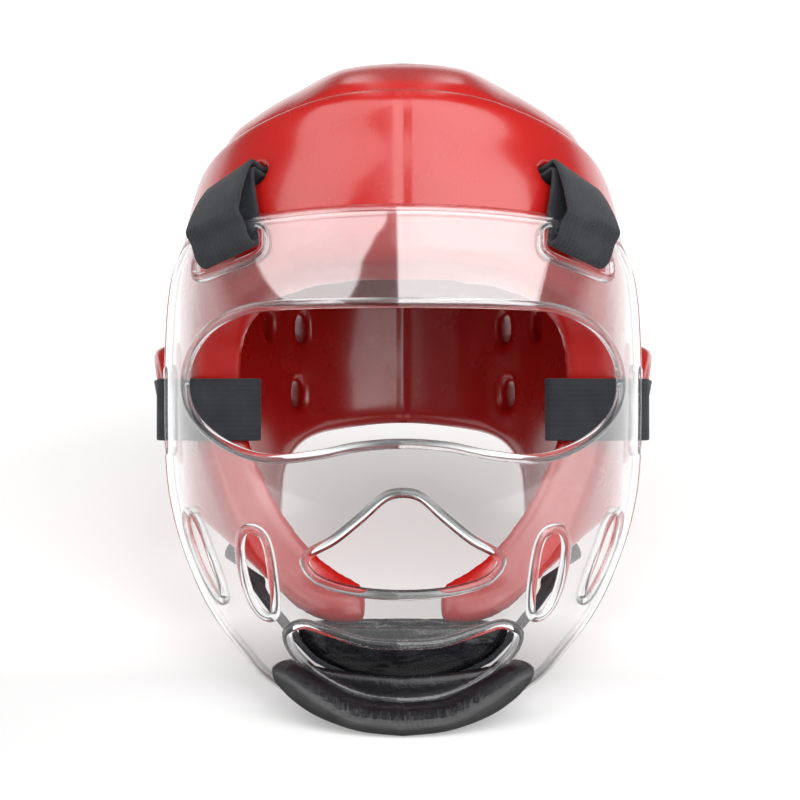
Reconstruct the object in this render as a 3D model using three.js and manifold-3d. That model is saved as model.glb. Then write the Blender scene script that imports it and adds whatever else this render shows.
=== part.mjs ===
// Sparring headgear with a clear face shield: a dipped foam headguard made of two side panels, a crown
// panel and two ear guards, a moulded clear shield held by four webbing loops, a chin cup with its strap,
// and a soft guard on the shield's lower edge. It stands as it rests: on the chin guard and the nape rim.
//
// The pieces are drawn in the head's own frame, in millimetres: x to the wearer's left, y to the back,
// z up, with the eye line at z = 0. The last lines tilt the whole back until it rests on the floor.
import * as THREE from "three";
import Module from "manifold-3d";

const wasm = await Module();
wasm.setup();

// Headguard foam
const shellHalfWidth = 97;
const shellFront = 112;
const shellBack = 118;
const crownHeight = 150.5;
const shellDrop = 115;
const foamThickness = 19;
const crownInset = 4;
const seamHeight = 107;
const seamSlope = 0.2;
const seamArch = 16;
const jawDepth = 90;
const chinGap = 28;
const browHeight = 55;
const templeSetback = 62;
const napeDepth = 58;
const archHalfWidth = 54;
const archHeight = 11;

// Ear guards
const earSetback = 14;
const earHeight = -2;
const earHalfLength = 24;
const earHalfHeight = 29;
const earRise = 11.6;
const earWall = 13;
const earSink = 2;
const earHoleShare = 0.58;
const earFlare = 0.3;
const earLean = 0.46;

// Vent slots in the foam
const ventHalfWidth = 3.2;
const ventHalfHeight = 7.5;

// Clear shield
const shieldOutset = 3.4;
const shieldHalfWidth = shellHalfWidth + shieldOutset;
const shieldFront = 135;
const shieldRise = 76.5;
const shieldDrop = 125;
const shieldThickness = 2.6;
const rimRadius = 2.1;
const eyeHalfWidth = 90.5;
const eyeRise = 38.5;
const eyeDrop = 23.5;
const noseHalfWidth = 39.5;
const noseTop = 36.7;
const noseBottom = 77.5;
const mouthHalfWidth = 47;
const mouthTop = 89.5;
const mouthBottom = 120;
const sideVentHalfWidth = 7.3;
const sideVentHalfHeight = 18;

// Webbing
const webbing = 1.8;
const strapClearance = 0.5;
const topStrapWidth = 31;
const sideStrapWidth = 26;
const sideStrapDrop = 4;
const chinStrapWidth = 20;

// Chin cup and chin guard
const cupHalfWidth = 43;
const cupHalfDepth = 24;
const cupHeight = 22.4;
const cupWall = 6;
const cupSetback = 86;
const cupClearance = 1;
const cupDrop = jawDepth + cupClearance;
const guardHalfWidth = 49;
const guardDrop = 133;
const guardThickness = 10;
const guardHold = 4;

const gap = 0.35;
const restFlat = 0.8;
const napeSettle = 1.2;

const red = new THREE.MeshStandardMaterial({ color: 0xc01512, roughness: 0.28, metalness: 0 });
const clear = new THREE.MeshStandardMaterial({
  color: 0xf2f5f7,
  roughness: 0.05,
  metalness: 0,
  transparent: true,
  opacity: 0.3,
});
const webbingBlack = new THREE.MeshStandardMaterial({ color: 0x24272a, roughness: 0.9, metalness: 0 });
const vinylBlack = new THREE.MeshStandardMaterial({ color: 0x15161a, roughness: 0.35, metalness: 0 });
const rubberBlack = new THREE.MeshStandardMaterial({ color: 0x2a2b2b, roughness: 0.6, metalness: 0 });

const vec = (x, y, z) => new THREE.Vector3(x, y, z);
const both = [-1, 1];
const sideName = (side) => (side > 0 ? "left" : "right");

// Smooth value of a table's column at a place, through its rows.
function column(table, name, at) {
  const last = table.length - 1;
  let i = table.findIndex((row, k) => k < last && at <= table[k + 1].at);
  if (i < 0) i = last - 1;
  const [p0, p1, p2, p3] = [i - 1, i, i + 1, i + 2].map((k) => table[Math.min(Math.max(k, 0), last)]);
  const span = p2.at - p1.at;
  const t = THREE.MathUtils.clamp((at - p1.at) / span, 0, 1);
  const before = ((p2[name] - p0[name]) / (p2.at - p0.at)) * span;
  const after = ((p3[name] - p1[name]) / (p3.at - p1.at)) * span;
  const t2 = t * t;
  const t3 = t2 * t;
  return (
    p1[name] * (2 * t3 - 3 * t2 + 1) +
    before * (t3 - 2 * t2 + t) +
    p2[name] * (3 * t2 - 2 * t3) +
    after * (t3 - t2)
  );
}

// A solid from points and triangles, with the faces turned outwards.
function body(points, faces) {
  let volume = 0;
  for (const [a, b, c] of faces) volume += points[a].dot(points[b].clone().cross(points[c]));
  const outward = volume < 0 ? faces.map(([a, b, c]) => [a, c, b]) : faces;
  return new wasm.Manifold(
    new wasm.Mesh({
      numProp: 3,
      vertProperties: new Float32Array(points.flatMap((p) => p.toArray())),
      triVerts: new Uint32Array(outward.flat()),
    }),
  );
}

// Skins rings of equal length one after the other. A joined loft closes on its first ring. Otherwise both
// ends get a cap: "strip" pairs a band's two sides, and a list of flat points is triangulated.
function loft(rings, cap) {
  const n = rings[0].length;
  const points = rings.flat();
  const faces = [];
  const spans = cap === "joined" ? rings.length : rings.length - 1;
  for (let r = 0; r < spans; r++) {
    const next = (r + 1) % rings.length;
    for (let i = 0; i < n; i++) {
      const j = (i + 1) % n;
      faces.push([r * n + i, r * n + j, next * n + j]);
      faces.push([r * n + i, next * n + j, next * n + i]);
    }
  }
  if (cap === "joined") return body(points, faces);
  let flat = [];
  if (cap === "strip") {
    for (let i = 0; i < n / 2 - 1; i++) flat.push([i, i + 1, n - 2 - i], [i, n - 2 - i, n - 1 - i]);
  } else {
    flat = THREE.ShapeUtils.triangulateShape(cap, []);
  }
  const end = (rings.length - 1) * n;
  for (const [a, b, c] of flat) {
    faces.push([a, c, b]);
    faces.push([end + a, end + b, end + c]);
  }
  return body(points, orient(faces, flat.length * 2));
}

// Turns the cap triangles, which are the last ones, so that each shared edge runs both ways.
function orient(faces, capCount) {
  const sides = faces.slice(0, faces.length - capCount);
  const caps = faces.slice(faces.length - capCount);
  const edges = new Set(sides.flatMap(([a, b, c]) => [`${a},${b}`, `${b},${c}`, `${c},${a}`]));
  for (const parity of [0, 1]) {
    const mine = caps.filter((_, k) => k % 2 === parity);
    const clash = mine.some(([a, b, c]) => [`${a},${b}`, `${b},${c}`, `${c},${a}`].some((e) => edges.has(e)));
    sides.push(...(clash ? mine.map(([a, b, c]) => [a, c, b]) : mine));
  }
  return sides;
}

// A smooth closed outline through a few corners, as flat points.
function outline(corners, steps, tension = 0.5) {
  const curve = new THREE.CatmullRomCurve3(
    corners.map(([a, b]) => vec(a, b, 0)),
    true,
    "catmullrom",
    tension,
  );
  return curve.getPoints(steps).slice(0, steps).map((p) => new THREE.Vector2(p.x, p.y));
}

// A prism over a flat outline, from one place to another along an axis.
function prism(flat, axis, from, to) {
  const place = {
    x: (p, at) => vec(at, p.x, p.y),
    y: (p, at) => vec(p.x, at, p.y),
    z: (p, at) => vec(p.x, p.y, at),
  }[axis];
  return loft([from, to].map((at) => flat.map((p) => place(p, at))), flat);
}

const corner = ([a, b]) => new THREE.Vector2(a, b);

const solids = new Map();
function piece(name, solid, material) {
  solids.set(name, { solid, material });
}

// Headguard foam

// Level sections of the foam's outer surface, as shares of its half width, front and back. They lie at
// shares of the crown height above the eye line and of the drop below it. Power is the roundness of the
// front corner: 2 is an ellipse, and more is squarer.
const shellSections = [
  { at: -1, width: 0.8, front: 0.79, back: 0.88, power: 1.8 },
  { at: -0.87, width: 0.86, front: 0.83, back: 0.9, power: 1.8 },
  { at: -0.77, width: 0.94, front: 0.866, back: 0.92, power: 1.8 },
  { at: -0.65, width: 0.965, front: 0.905, back: 0.93, power: 1.8 },
  { at: -0.5, width: 0.985, front: 0.95, back: 0.95, power: 1.85 },
  { at: -0.3, width: 0.99, front: 0.982, back: 0.98, power: 2.05 },
  { at: -0.09, width: 0.998, front: 0.995, back: 1, power: 2.35 },
  { at: 0.13, width: 1, front: 1, back: 1, power: 2.5 },
  { at: 0.33, width: 1, front: 1, back: 0.995, power: 2.5 },
  { at: 0.475, width: 0.975, front: 0.991, back: 0.97, power: 2.5 },
  { at: 0.594, width: 0.93, front: 0.96, back: 0.93, power: 2.5 },
  { at: 0.706, width: 0.862, front: 0.905, back: 0.868, power: 2.5 },
  { at: 0.812, width: 0.768, front: 0.85, back: 0.77, power: 2.5 },
  { at: 0.917, width: 0.54, front: 0.65, back: 0.58, power: 2.4 },
  { at: 0.977, width: 0.32, front: 0.39, back: 0.36, power: 2.2 },
  { at: 1, width: 0.04, front: 0.05, back: 0.05, power: 2 },
];
const shellColumns = 32;
const backPower = 2.3;

function shellSurface(turn, at) {
  const [s, c] = [Math.sin(turn), Math.cos(turn)];
  const power = c > 0 ? column(shellSections, "power", at) : backPower;
  const reach =
    c > 0 ? -shellFront * column(shellSections, "front", at) : shellBack * column(shellSections, "back", at);
  const width = shellHalfWidth * column(shellSections, "width", at);
  return vec(
    width * Math.sign(s) * Math.abs(s) ** (2 / power),
    reach * Math.abs(c) ** (2 / power),
    at > 0 ? at * crownHeight : at * shellDrop,
  );
}

// A point that lies inset below the outer surface, square to it. Turn 0 is the front.
function shellPoint(turn, at, inset) {
  const step = 0.01;
  const round = shellSurface(turn + step, at).sub(shellSurface(turn - step, at));
  const up = shellSurface(turn, Math.min(at + step, 1)).sub(shellSurface(turn, Math.max(at - step, -1)));
  return shellSurface(turn, at).addScaledVector(round.cross(up).normalize(), -inset);
}

const shellAt = (height) => (height > 0 ? height / crownHeight : height / shellDrop);

// Half width of the foam at a depth and a height, on its outer surface or inset below it.
function foamHalfWidth(y, height, inset) {
  let [low, high] = [0.01, Math.PI - 0.01];
  for (let k = 0; k < 30; k++) {
    const turn = (low + high) / 2;
    if (shellPoint(turn, shellAt(height), inset).y < y) low = turn;
    else high = turn;
  }
  return shellPoint((low + high) / 2, shellAt(height), inset).x;
}

// The whole dome at one inset, closed below and at the crown.
function dome(inset) {
  const turns = Array.from({ length: shellColumns }, (_, k) => ((k + 0.5) / shellColumns) * 2 * Math.PI);
  const rings = shellSections.map((row) => turns.map((t) => shellPoint(t, row.at, inset)));
  if (inset) rings.unshift(rings[0].map((p) => vec(p.x, p.y, p.z - 2 * inset)));
  const flat = rings[0].map((p) => new THREE.Vector2(p.x, p.y));
  return loft(rings, flat);
}

// Front outline of the foam seen from the side: under the brow, down the temple and along the cheek.
// Forward is the share of the way from the temple's edge to the foam's front, and level is a share of the
// brow's height above the eye line or of the jaw's depth below it.
const faceEdge = [
  { forward: 2.2, level: 1.145 },
  { forward: 1.04, level: 1.018 },
  { forward: 0.62, level: 0.836 },
  { forward: 0.34, level: 0.673 },
  { forward: 0.1, level: 0.436 },
  { forward: 0, level: 0.127 },
  { forward: 0, level: -0.122 },
  { forward: 0.04, level: -0.3 },
  { forward: 0.14, level: -0.533 },
  { forward: 0.31, level: -0.778 },
  { forward: 0.52, level: -0.933 },
  { forward: 0.66, level: -1.133 },
  { forward: 2.2, level: -1.267 },
].map(({ forward, level }) => {
  const y = -templeSetback - forward * (shellFront - templeSetback);
  return corner([y, level * (level > 0 ? browHeight : jawDepth)]);
});
// Lower outline seen from the side: from the chin along the jaw to the nape. Depth is a share of the
// foam's front or back, and drop is the share of the way down from the nape to the jaw.
const jawEdge = [
  { depth: -1.536, drop: 1.15 },
  { depth: -0.81, drop: 1.12 },
  { depth: -0.728, drop: 0.97 },
  { depth: -0.674, drop: 0.656 },
  { depth: -0.616, drop: 0.375 },
  { depth: -0.53, drop: 0.1 },
  { depth: -0.4, drop: -0.12 },
  { depth: -0.25, drop: -0.22 },
  { depth: 0, drop: -0.2 },
  { depth: 0.3, drop: -0.06 },
  { depth: 0.661, drop: 0 },
  { depth: 1.339, drop: 0 },
  { depth: 1.339, drop: 4.375 },
  { depth: -1.536, drop: 4.375 },
].map(({ depth, drop }) => {
  const y = depth * (depth < 0 ? shellFront : shellBack);
  return corner([y, -napeDepth - drop * (jawDepth - napeDepth)]);
});
// Half of the neck arch seen from behind: shares of its half width and of the way down to the nape.
const archRows = [
  { across: 1.037, drop: 3.98 },
  { across: 1.037, drop: 0.681 },
  { across: 1, drop: 0.383 },
  { across: 0.833, drop: 0.149 },
  { across: 0.444, drop: 0.043 },
  { across: 0, drop: 0 },
];
const archHalf = archRows.map(({ across, drop }) => [
  across * archHalfWidth,
  -archHeight - drop * (napeDepth - archHeight),
]);
const neckArch = [...archHalf.map(([x, z]) => [-x, z]), ...archHalf.slice(0, -1).toReversed()].map(corner);
const beyond = 260;

// The space above the crown seam, an arch that falls away to the sides and to the back.
function aboveSeam(lift) {
  const steps = 10;
  const reach = 1.2 * shellHalfWidth;
  const arch = Array.from({ length: steps + 1 }, (_, k) => {
    const x = ((k / steps) * 2 - 1) * reach;
    return [x, seamHeight + lift - seamArch * (x / shellHalfWidth) ** 2];
  });
  const flat = [...arch, [reach, beyond], [-reach, beyond]].map(corner);
  const rings = [-beyond, beyond].map((y) => flat.map((p) => vec(p.x, y, p.y - seamSlope * y)));
  return loft(rings, flat);
}

// A hole through the foam, square to its surface: an oval, or with a higher power a slit.
function foamHole(frame, halfWidth, halfHeight, power) {
  const steps = power > 2 ? 16 : 10;
  const outlineFlat = Array.from({ length: steps }, (_, k) => {
    const a = ((k + 0.5) / steps) * 2 * Math.PI;
    const round = (v) => Math.sign(v) * Math.abs(v) ** (2 / power);
    return new THREE.Vector2(round(Math.cos(a)) * halfWidth, round(Math.sin(a)) * halfHeight);
  });
  const rings = [-1.7 * foamThickness, foamThickness].map((reach) =>
    outlineFlat.map((p) =>
      frame.middle
        .clone()
        .addScaledVector(frame.out, reach)
        .addScaledVector(frame.along, p.x)
        .addScaledVector(frame.up, p.y),
    ),
  );
  return loft(rings, outlineFlat);
}

// Place and directions of a hole in the foam's outer surface.
function foamFrame(turn, height, tilt = 0) {
  const middle = shellPoint(turn, shellAt(height), 0);
  const out = middle.clone().sub(shellPoint(turn, shellAt(height), 1)).normalize();
  const along = vec(-out.y, out.x, 0).normalize().applyAxisAngle(out, tilt);
  const up = out.clone().cross(along);
  return { middle, out, along, up: up.z < 0 ? up.negate() : up };
}

// Vents at the back of the head, for the wearer's left side.
const radians = THREE.MathUtils.degToRad;
const vents = [
  { turn: radians(146), height: 0.224 * crownHeight },
  { turn: radians(130), height: 0.231 * crownHeight },
  { turn: radians(144), height: 0.02 * crownHeight },
];
const slitTurn = radians(46);
const slitHeight = 0.5875 * crownHeight;
const slitTilt = radians(24);
const slitHalfHeight = 4;
const slitHalfWidth = topStrapWidth / 2 + 1.5;
const slitPower = 6;
const slitFrame = (side) => foamFrame(side * slitTurn, slitHeight, -side * slitTilt);

function sidePanels() {
  let foam = dome(0).subtract(dome(foamThickness));
  foam = foam.subtract(prism(faceEdge, "x", -beyond, beyond));
  foam = foam.subtract(prism(jawEdge, "x", -beyond, beyond));
  foam = foam.subtract(prism(neckArch, "y", 0, beyond));
  foam = foam.subtract(aboveSeam(0));
  for (const side of both) {
    foam = foam.subtract(earOpening(side));
    foam = foam.subtract(foamHole(slitFrame(side), slitHalfWidth, slitHalfHeight, slitPower));
    for (const { turn, height } of vents)
      foam = foam.subtract(foamHole(foamFrame(side * turn, height), ventHalfWidth, ventHalfHeight, 2));
  }
  for (const side of both) {
    const keep = [
      [gap / 2, -shellDrop - beyond],
      [beyond, -shellDrop - beyond],
      [beyond, beyond],
      [gap / 2, beyond],
    ].map(([x, z]) => corner([side * x, z]));
    const chin = [
      [-chinGap / 2, -beyond],
      [chinGap / 2, -beyond],
      [chinGap / 2, 0],
      [-chinGap / 2, 0],
    ].map(corner);
    const half = foam.intersect(prism(keep, "y", -beyond, beyond)).subtract(prism(chin, "y", -beyond, 0));
    piece(`side_panel_${sideName(side)}`, half.subtract(underFloor), red);
  }
}

function crownPanel() {
  piece("crown_panel", dome(crownInset).subtract(dome(foamThickness)).intersect(aboveSeam(gap)), red);
}

// Ear guards

// Where an ear guard sits on the foam, for one side.
const earSteps = 20;
const earOut = shellHalfWidth * column(shellSections, "width", shellAt(earHeight)) - earSink;

function earOpening(side) {
  const flat = Array.from({ length: earSteps }, (_, k) => {
    const a = ((k + 0.5) / earSteps) * 2 * Math.PI;
    return new THREE.Vector2(
      earSetback + Math.cos(a) * (earHalfLength + gap),
      earHeight + Math.sin(a) * (earHalfHeight + gap),
    );
  });
  return prism(flat, "x", side * 0.3 * shellHalfWidth, side * beyond);
}

// Section of an ear guard: shares of its half length or height, and of its wall below and rise above
// the foam's surface. The rise grows to the back and the top.
const crestReach = 0.74;
const earSection = [
  { reach: earHoleShare, out: -0.7 },
  { reach: 0.8, out: -1 },
  { reach: 0.94, out: -0.93 },
  { reach: 0.96, out: 0 },
  { reach: 0.93, out: 0.45 },
  { reach: 0.84, out: 0.88 },
  { reach: crestReach, out: 1 },
  { reach: 0.66, out: 0.9 },
  { reach: earHoleShare, out: 0.5 },
];

function earGuards() {
  for (const side of both) {
    const rings = Array.from({ length: earSteps }, (_, k) => {
      const a = ((k + 0.5) / earSteps) * 2 * Math.PI;
      return earSection.map(({ reach, out }) => {
        const [back, up] = [reach * Math.cos(a), reach * Math.sin(a)];
        const rise = out > 0 ? out * earRise * (1 + earFlare * back + earLean * up) : out * earWall;
        return vec(side * (earOut + rise), earSetback + back * earHalfLength, earHeight + up * earHalfHeight);
      });
    });
    piece(`ear_guard_${sideName(side)}`, loft(rings, "joined"), red);
  }
}

// Clear shield

// Level sections of the shield's outer surface: shares of its half width and front. Edge is where its
// side edge lies, and droop is how far the row sinks at the side edge, as a share of the rise.
const shieldSections = [
  { at: -1, width: 0.27, front: 0.865, edge: 0.765, droop: 0 },
  { at: -0.953, width: 0.44, front: 0.873, edge: 0.725, droop: 0 },
  { at: -0.898, width: 0.56, front: 0.882, edge: 0.685, droop: 0 },
  { at: -0.827, width: 0.647, front: 0.893, edge: 0.64, droop: 0 },
  { at: -0.732, width: 0.753, front: 0.908, edge: 0.575, droop: 0 },
  { at: -0.63, width: 0.837, front: 0.92, edge: 0.5, droop: 0 },
  { at: -0.472, width: 0.924, front: 0.955, edge: 0.43, droop: 0 },
  { at: -0.315, width: 0.976, front: 0.98, edge: 0.385, droop: 0 },
  { at: -0.157, width: 0.996, front: 0.995, edge: 0.36, droop: 0 },
  { at: 0, width: 1, front: 1, edge: 0.355, droop: 0 },
  { at: 0.26, width: 0.996, front: 0.995, edge: 0.36, droop: 0.02 },
  { at: 0.523, width: 0.985, front: 0.98, edge: 0.385, droop: 0.05 },
  { at: 0.72, width: 0.967, front: 0.955, edge: 0.43, droop: 0.1 },
  { at: 0.863, width: 0.945, front: 0.93, edge: 0.47, droop: 0.15 },
  { at: 1, width: 0.905, front: 0.9, edge: 0.52, droop: 0.2 },
];
const shieldColumns = 16;
const shieldAt = (height) => (height > 0 ? height / shieldRise : height / shieldDrop);

function shieldSurface(turn, height) {
  const at = shieldAt(height);
  const [front, edge] = ["front", "edge"].map((name) => -shieldFront * column(shieldSections, name, at));
  const droop = shieldRise * column(shieldSections, "droop", at);
  return vec(
    shieldHalfWidth * column(shieldSections, "width", at) * Math.sin(turn),
    edge + (front - edge) * Math.cos(turn),
    height - droop * (1 - Math.cos(turn)),
  );
}

// Place and directions on the shield's outer surface.
function shieldFrame(turn, height) {
  const step = 0.02;
  const high = Math.min(height + 1, shieldRise);
  const low = Math.max(height - 1, -shieldDrop);
  const along = shieldSurface(turn + step, height).sub(shieldSurface(turn - step, height));
  const scale = along.length() / (2 * step);
  along.normalize();
  const up = shieldSurface(turn, high).sub(shieldSurface(turn, low)).normalize();
  const out = along.clone().cross(up).normalize();
  return { middle: shieldSurface(turn, height), along, up, out, scale };
}

// The turn and height on the shield that a place in the front view falls on.
function shieldPlace(x, z) {
  let height = z;
  let turn = 0;
  for (let k = 0; k < 8; k++) {
    const at = shieldAt(height);
    const halfWidth = shieldHalfWidth * column(shieldSections, "width", at);
    turn = Math.asin(THREE.MathUtils.clamp(x / halfWidth, -1, 1));
    height = z + shieldRise * column(shieldSections, "droop", at) * (1 - Math.cos(turn));
  }
  return { turn, height };
}

// The shield's wall, or with a growth the space that it and its clearance take up.
function shieldSlab(grow) {
  const sweep = Math.PI * (1 + (2 * grow) / shieldFront);
  const turns = Array.from({ length: shieldColumns + 1 }, (_, k) => (k / shieldColumns - 0.5) * sweep);
  const rings = shieldSections.map(({ at }, k) => {
    const height = at > 0 ? at * shieldRise : at * shieldDrop - (k ? 0 : grow);
    const skin = (inset) =>
      turns.map((turn) => {
        const { middle, out } = shieldFrame(turn, height);
        return middle.addScaledVector(out, -inset);
      });
    return [...skin(-grow), ...skin(shieldThickness + grow).reverse()];
  });
  return loft(rings, "strip");
}

// A round rim along a closed run of shield places, centred in the shield's wall.
function rim(places, radius) {
  const sides = 4;
  const frames = places.map(({ turn, height }) => {
    const frame = shieldFrame(turn, height);
    return { point: frame.middle.addScaledVector(frame.out, -shieldThickness / 2), out: frame.out };
  });
  const rings = frames.map(({ point, out }, k) => {
    const next = frames[(k + 1) % frames.length].point;
    const last = frames[(k + frames.length - 1) % frames.length].point;
    const side = next.clone().sub(last).normalize().cross(out).normalize();
    return Array.from({ length: sides }, (_, j) => {
      const a = (j / sides) * 2 * Math.PI;
      return point
        .clone()
        .addScaledVector(out, Math.cos(a) * radius)
        .addScaledVector(side, Math.sin(a) * radius);
    });
  });
  return loft(rings, "joined");
}

// The run of places around the shield's own edge.
function shieldEdge() {
  const levels = shieldSections.map(({ at }) => (at > 0 ? at * shieldRise : at * shieldDrop));
  const quarter = Math.PI / 2;
  const across = (columns) =>
    Array.from({ length: columns - 1 }, (_, k) => (((k + 1) / columns) * 2 - 1) * quarter);
  return [
    ...levels.slice(1).map((height) => ({ turn: -quarter, height })),
    ...across(shieldColumns).map((turn) => ({ turn, height: shieldRise })),
    ...levels.slice(1).toReversed().map((height) => ({ turn: quarter, height })),
    ...across(shieldColumns / 2).toReversed().map((turn) => ({ turn, height: -shieldDrop })),
  ];
}

// Half outlines of the front openings, along the middle of their rims, from the middle of the top to the
// middle of the bottom. The eye opening's heights are shares of its rise or drop, and the others' of the
// way from top to bottom.
const eyeOutline = [
  { across: 0, level: 1 },
  { across: 0.5, level: 0.985 },
  { across: 0.72, level: 0.93 },
  { across: 0.88, level: 0.74 },
  { across: 0.975, level: 0.45 },
  { across: 1, level: 0.12 },
  { across: 0.96, level: -0.25 },
  { across: 0.86, level: -0.62 },
  { across: 0.73, level: -0.88 },
  { across: 0.585, level: -1 },
  { across: 0.38, level: -0.93 },
  { across: 0.2, level: -0.79 },
  { across: 0, level: -0.735 },
];
const noseOutline = [
  { across: 0, level: 0 },
  { across: 0.18, level: 0.04 },
  { across: 0.42, level: 0.24 },
  { across: 0.7, level: 0.46 },
  { across: 0.95, level: 0.6 },
  { across: 1, level: 0.7 },
  { across: 0.86, level: 0.86 },
  { across: 0.5, level: 0.965 },
  { across: 0, level: 1 },
];
const mouthOutline = [
  { across: 0, level: 0.26 },
  { across: 0.32, level: 0.23 },
  { across: 0.66, level: 0.08 },
  { across: 0.85, level: 0 },
  { across: 0.97, level: 0.06 },
  { across: 1, level: 0.17 },
  { across: 0.93, level: 0.4 },
  { across: 0.68, level: 0.72 },
  { across: 0.34, level: 0.945 },
  { across: 0, level: 1 },
];

function frontOpening(rows, halfWidth, levelToHeight, steps) {
  const half = rows.map(({ across, level }) => [across * halfWidth, levelToHeight(level)]);
  const mirrored = half.slice(1, -1).toReversed().map(([x, z]) => [-x, z]);
  const places = outline([...half, ...mirrored], steps).map((p) => shieldPlace(p.x, p.y));
  return { places, through: vec(0, -1, 0), reach: shieldFront };
}

// A rounded slot that lies at a place in the front view, in the shield's own surface.
function surfaceSlot(x, z, halfWidth, halfHeight, lean, power) {
  const middle = shieldPlace(x, z);
  const { out, scale } = shieldFrame(middle.turn, middle.height);
  const steps = 10;
  const round = (v) => Math.sign(v) * Math.abs(v) ** (2 / power);
  const places = Array.from({ length: steps }, (_, k) => {
    const a = (k / steps) * 2 * Math.PI;
    const p = corner([round(Math.cos(a)) * halfWidth, round(Math.sin(a)) * halfHeight]);
    p.rotateAround(corner([0, 0]), lean);
    return { turn: middle.turn + p.x / scale, height: middle.height + p.y };
  });
  return { places, through: out, reach: 5 * shieldThickness };
}

const topSlot = { x: 0.725 * shieldHalfWidth, z: 0.775 * shieldRise, lean: radians(-13) };
const topSlotHalfWidth = topStrapWidth / 2 + rimRadius + 1;
const topSlotHalfHeight = 7.5;
const sideSlotInset = 11;
const sideSlotHalfWidth = 5.5;
const sideSlotHalfHeight = sideStrapWidth / 2 + rimRadius + 2.5;
const strapSlotPower = 4;
const ventPower = 2.6;
const sideSlotPlace = () => {
  const { scale } = shieldFrame(Math.PI / 2, -sideStrapDrop);
  return shieldSurface(Math.PI / 2 - sideSlotInset / scale, -sideStrapDrop);
};
const innerVent = { x: 0.59 * shieldHalfWidth, z: -0.555 * shieldDrop, lean: radians(9.5) };
const outerVent = { x: 0.825 * shieldHalfWidth, z: -0.51 * shieldDrop, lean: radians(-4) };

const between = (top, bottom) => (level) => -top - (bottom - top) * level;
const mouthOpening = frontOpening(mouthOutline, mouthHalfWidth, between(mouthTop, mouthBottom), 18);

function shieldOpenings() {
  const openings = [
    frontOpening(eyeOutline, eyeHalfWidth, (level) => level * (level > 0 ? eyeRise : eyeDrop), 30),
    frontOpening(noseOutline, noseHalfWidth, between(noseTop, noseBottom), 18),
    mouthOpening,
  ];
  const sideSlot = sideSlotPlace();
  const slots = [
    { ...topSlot, halfWidth: topSlotHalfWidth, halfHeight: topSlotHalfHeight, power: strapSlotPower },
    { ...innerVent, halfWidth: sideVentHalfWidth, halfHeight: sideVentHalfHeight, power: ventPower },
    { ...outerVent, halfWidth: sideVentHalfWidth, halfHeight: sideVentHalfHeight, power: ventPower },
    { x: sideSlot.x, z: sideSlot.z, lean: 0, halfWidth: sideSlotHalfWidth, halfHeight: sideSlotHalfHeight },
  ];
  for (const side of both)
    for (const { x, z, lean, halfWidth, halfHeight, power = strapSlotPower } of slots)
      openings.push(surfaceSlot(side * x, z, halfWidth, halfHeight, side * lean, power));
  return openings;
}

// The solid that an opening takes out of the shield.
function openingCut({ places, through, reach }) {
  const points = places.map(({ turn, height }) => shieldSurface(turn, height));
  const side = through.clone().cross(vec(0, 0, 1)).normalize();
  const up = side.clone().cross(through);
  const flat = points.map((p) => new THREE.Vector2(p.dot(side), p.dot(up)));
  const rings = [-1, 1].map((way) => points.map((p) => p.clone().addScaledVector(through, way * reach)));
  return loft(rings, flat);
}

function faceShield() {
  let shield = shieldSlab(0);
  const openings = shieldOpenings();
  for (const opening of openings) shield = shield.subtract(openingCut(opening));
  for (const { places } of openings) shield = shield.add(rim(places, rimRadius));
  piece("face_shield", shield.add(rim(shieldEdge(), rimRadius)), clear);
}

// Webbing

// A flat band along a run of places. Each has the band's middle and the direction across it.
function band(places, width, closed) {
  const steps = 2 * (closed ? places.length : places.length - 1);
  const curve = (key) =>
    new THREE.CatmullRomCurve3(
      places.map((place) => place[key]),
      closed,
      "centripetal",
    );
  const [middle, across] = [curve("middle"), curve("across")];
  const count = closed ? steps : steps + 1;
  const rings = Array.from({ length: count }, (_, k) => {
    const t = k / steps;
    const way = middle.getTangent(t);
    const side = across.getPoint(t);
    side.addScaledVector(way, -side.dot(way)).normalize();
    const out = way.clone().cross(side);
    return [
      [-1, -1],
      [1, -1],
      [1, 1],
      [-1, 1],
    ].map(([a, b]) =>
      middle
        .getPoint(t)
        .addScaledVector(side, (a * width) / 2)
        .addScaledVector(out, (b * webbing) / 2),
    );
  });
  return loft(rings, closed ? "joined" : "strip");
}

function topStraps() {
  for (const side of both) {
    const slit = slitFrame(side);
    const place = shieldPlace(side * topSlot.x, topSlot.z);
    const slot = shieldFrame(place.turn, place.height);
    slot.along.applyAxisAngle(slot.out, side * topSlot.lean);
    slot.up = slot.out.clone().cross(slot.along);
    if (slot.up.z < 0) slot.up.negate();
    const layer = (slitHalfHeight - webbing / 2) / 2;
    const off = rimRadius + webbing / 2 + strapClearance;
    const atSlit = (out, up) => ({
      middle: slit.middle.clone().addScaledVector(slit.out, out).addScaledVector(slit.up, up),
      across: slit.along,
    });
    const atSlot = (out, up) => ({
      middle: slot.middle
        .clone()
        .addScaledVector(slot.out, out - shieldThickness / 2)
        .addScaledVector(slot.up, up),
      across: slot.along,
    });
    const loop = [
      atSlit(-0.75 * foamThickness, layer),
      atSlit(-0.2 * foamThickness, layer),
      atSlit(3.4, layer + 0.4),
      atSlot(off + 2.5, topSlotHalfHeight + 6),
      atSlot(off + 0.6, topSlotHalfHeight),
      atSlot(off - 1, 1),
      atSlot(-1, -1.2),
      atSlot(-off - 1, 1),
      atSlot(-off - 2.4, topSlotHalfHeight),
      atSlit(2.4, -layer - 0.4),
      atSlit(-0.2 * foamThickness, -layer),
      atSlit(-0.75 * foamThickness, -layer),
    ];
    piece(`top_strap_${sideName(side)}`, band(loop, topStrapWidth, true), webbingBlack);
  }
}

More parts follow.
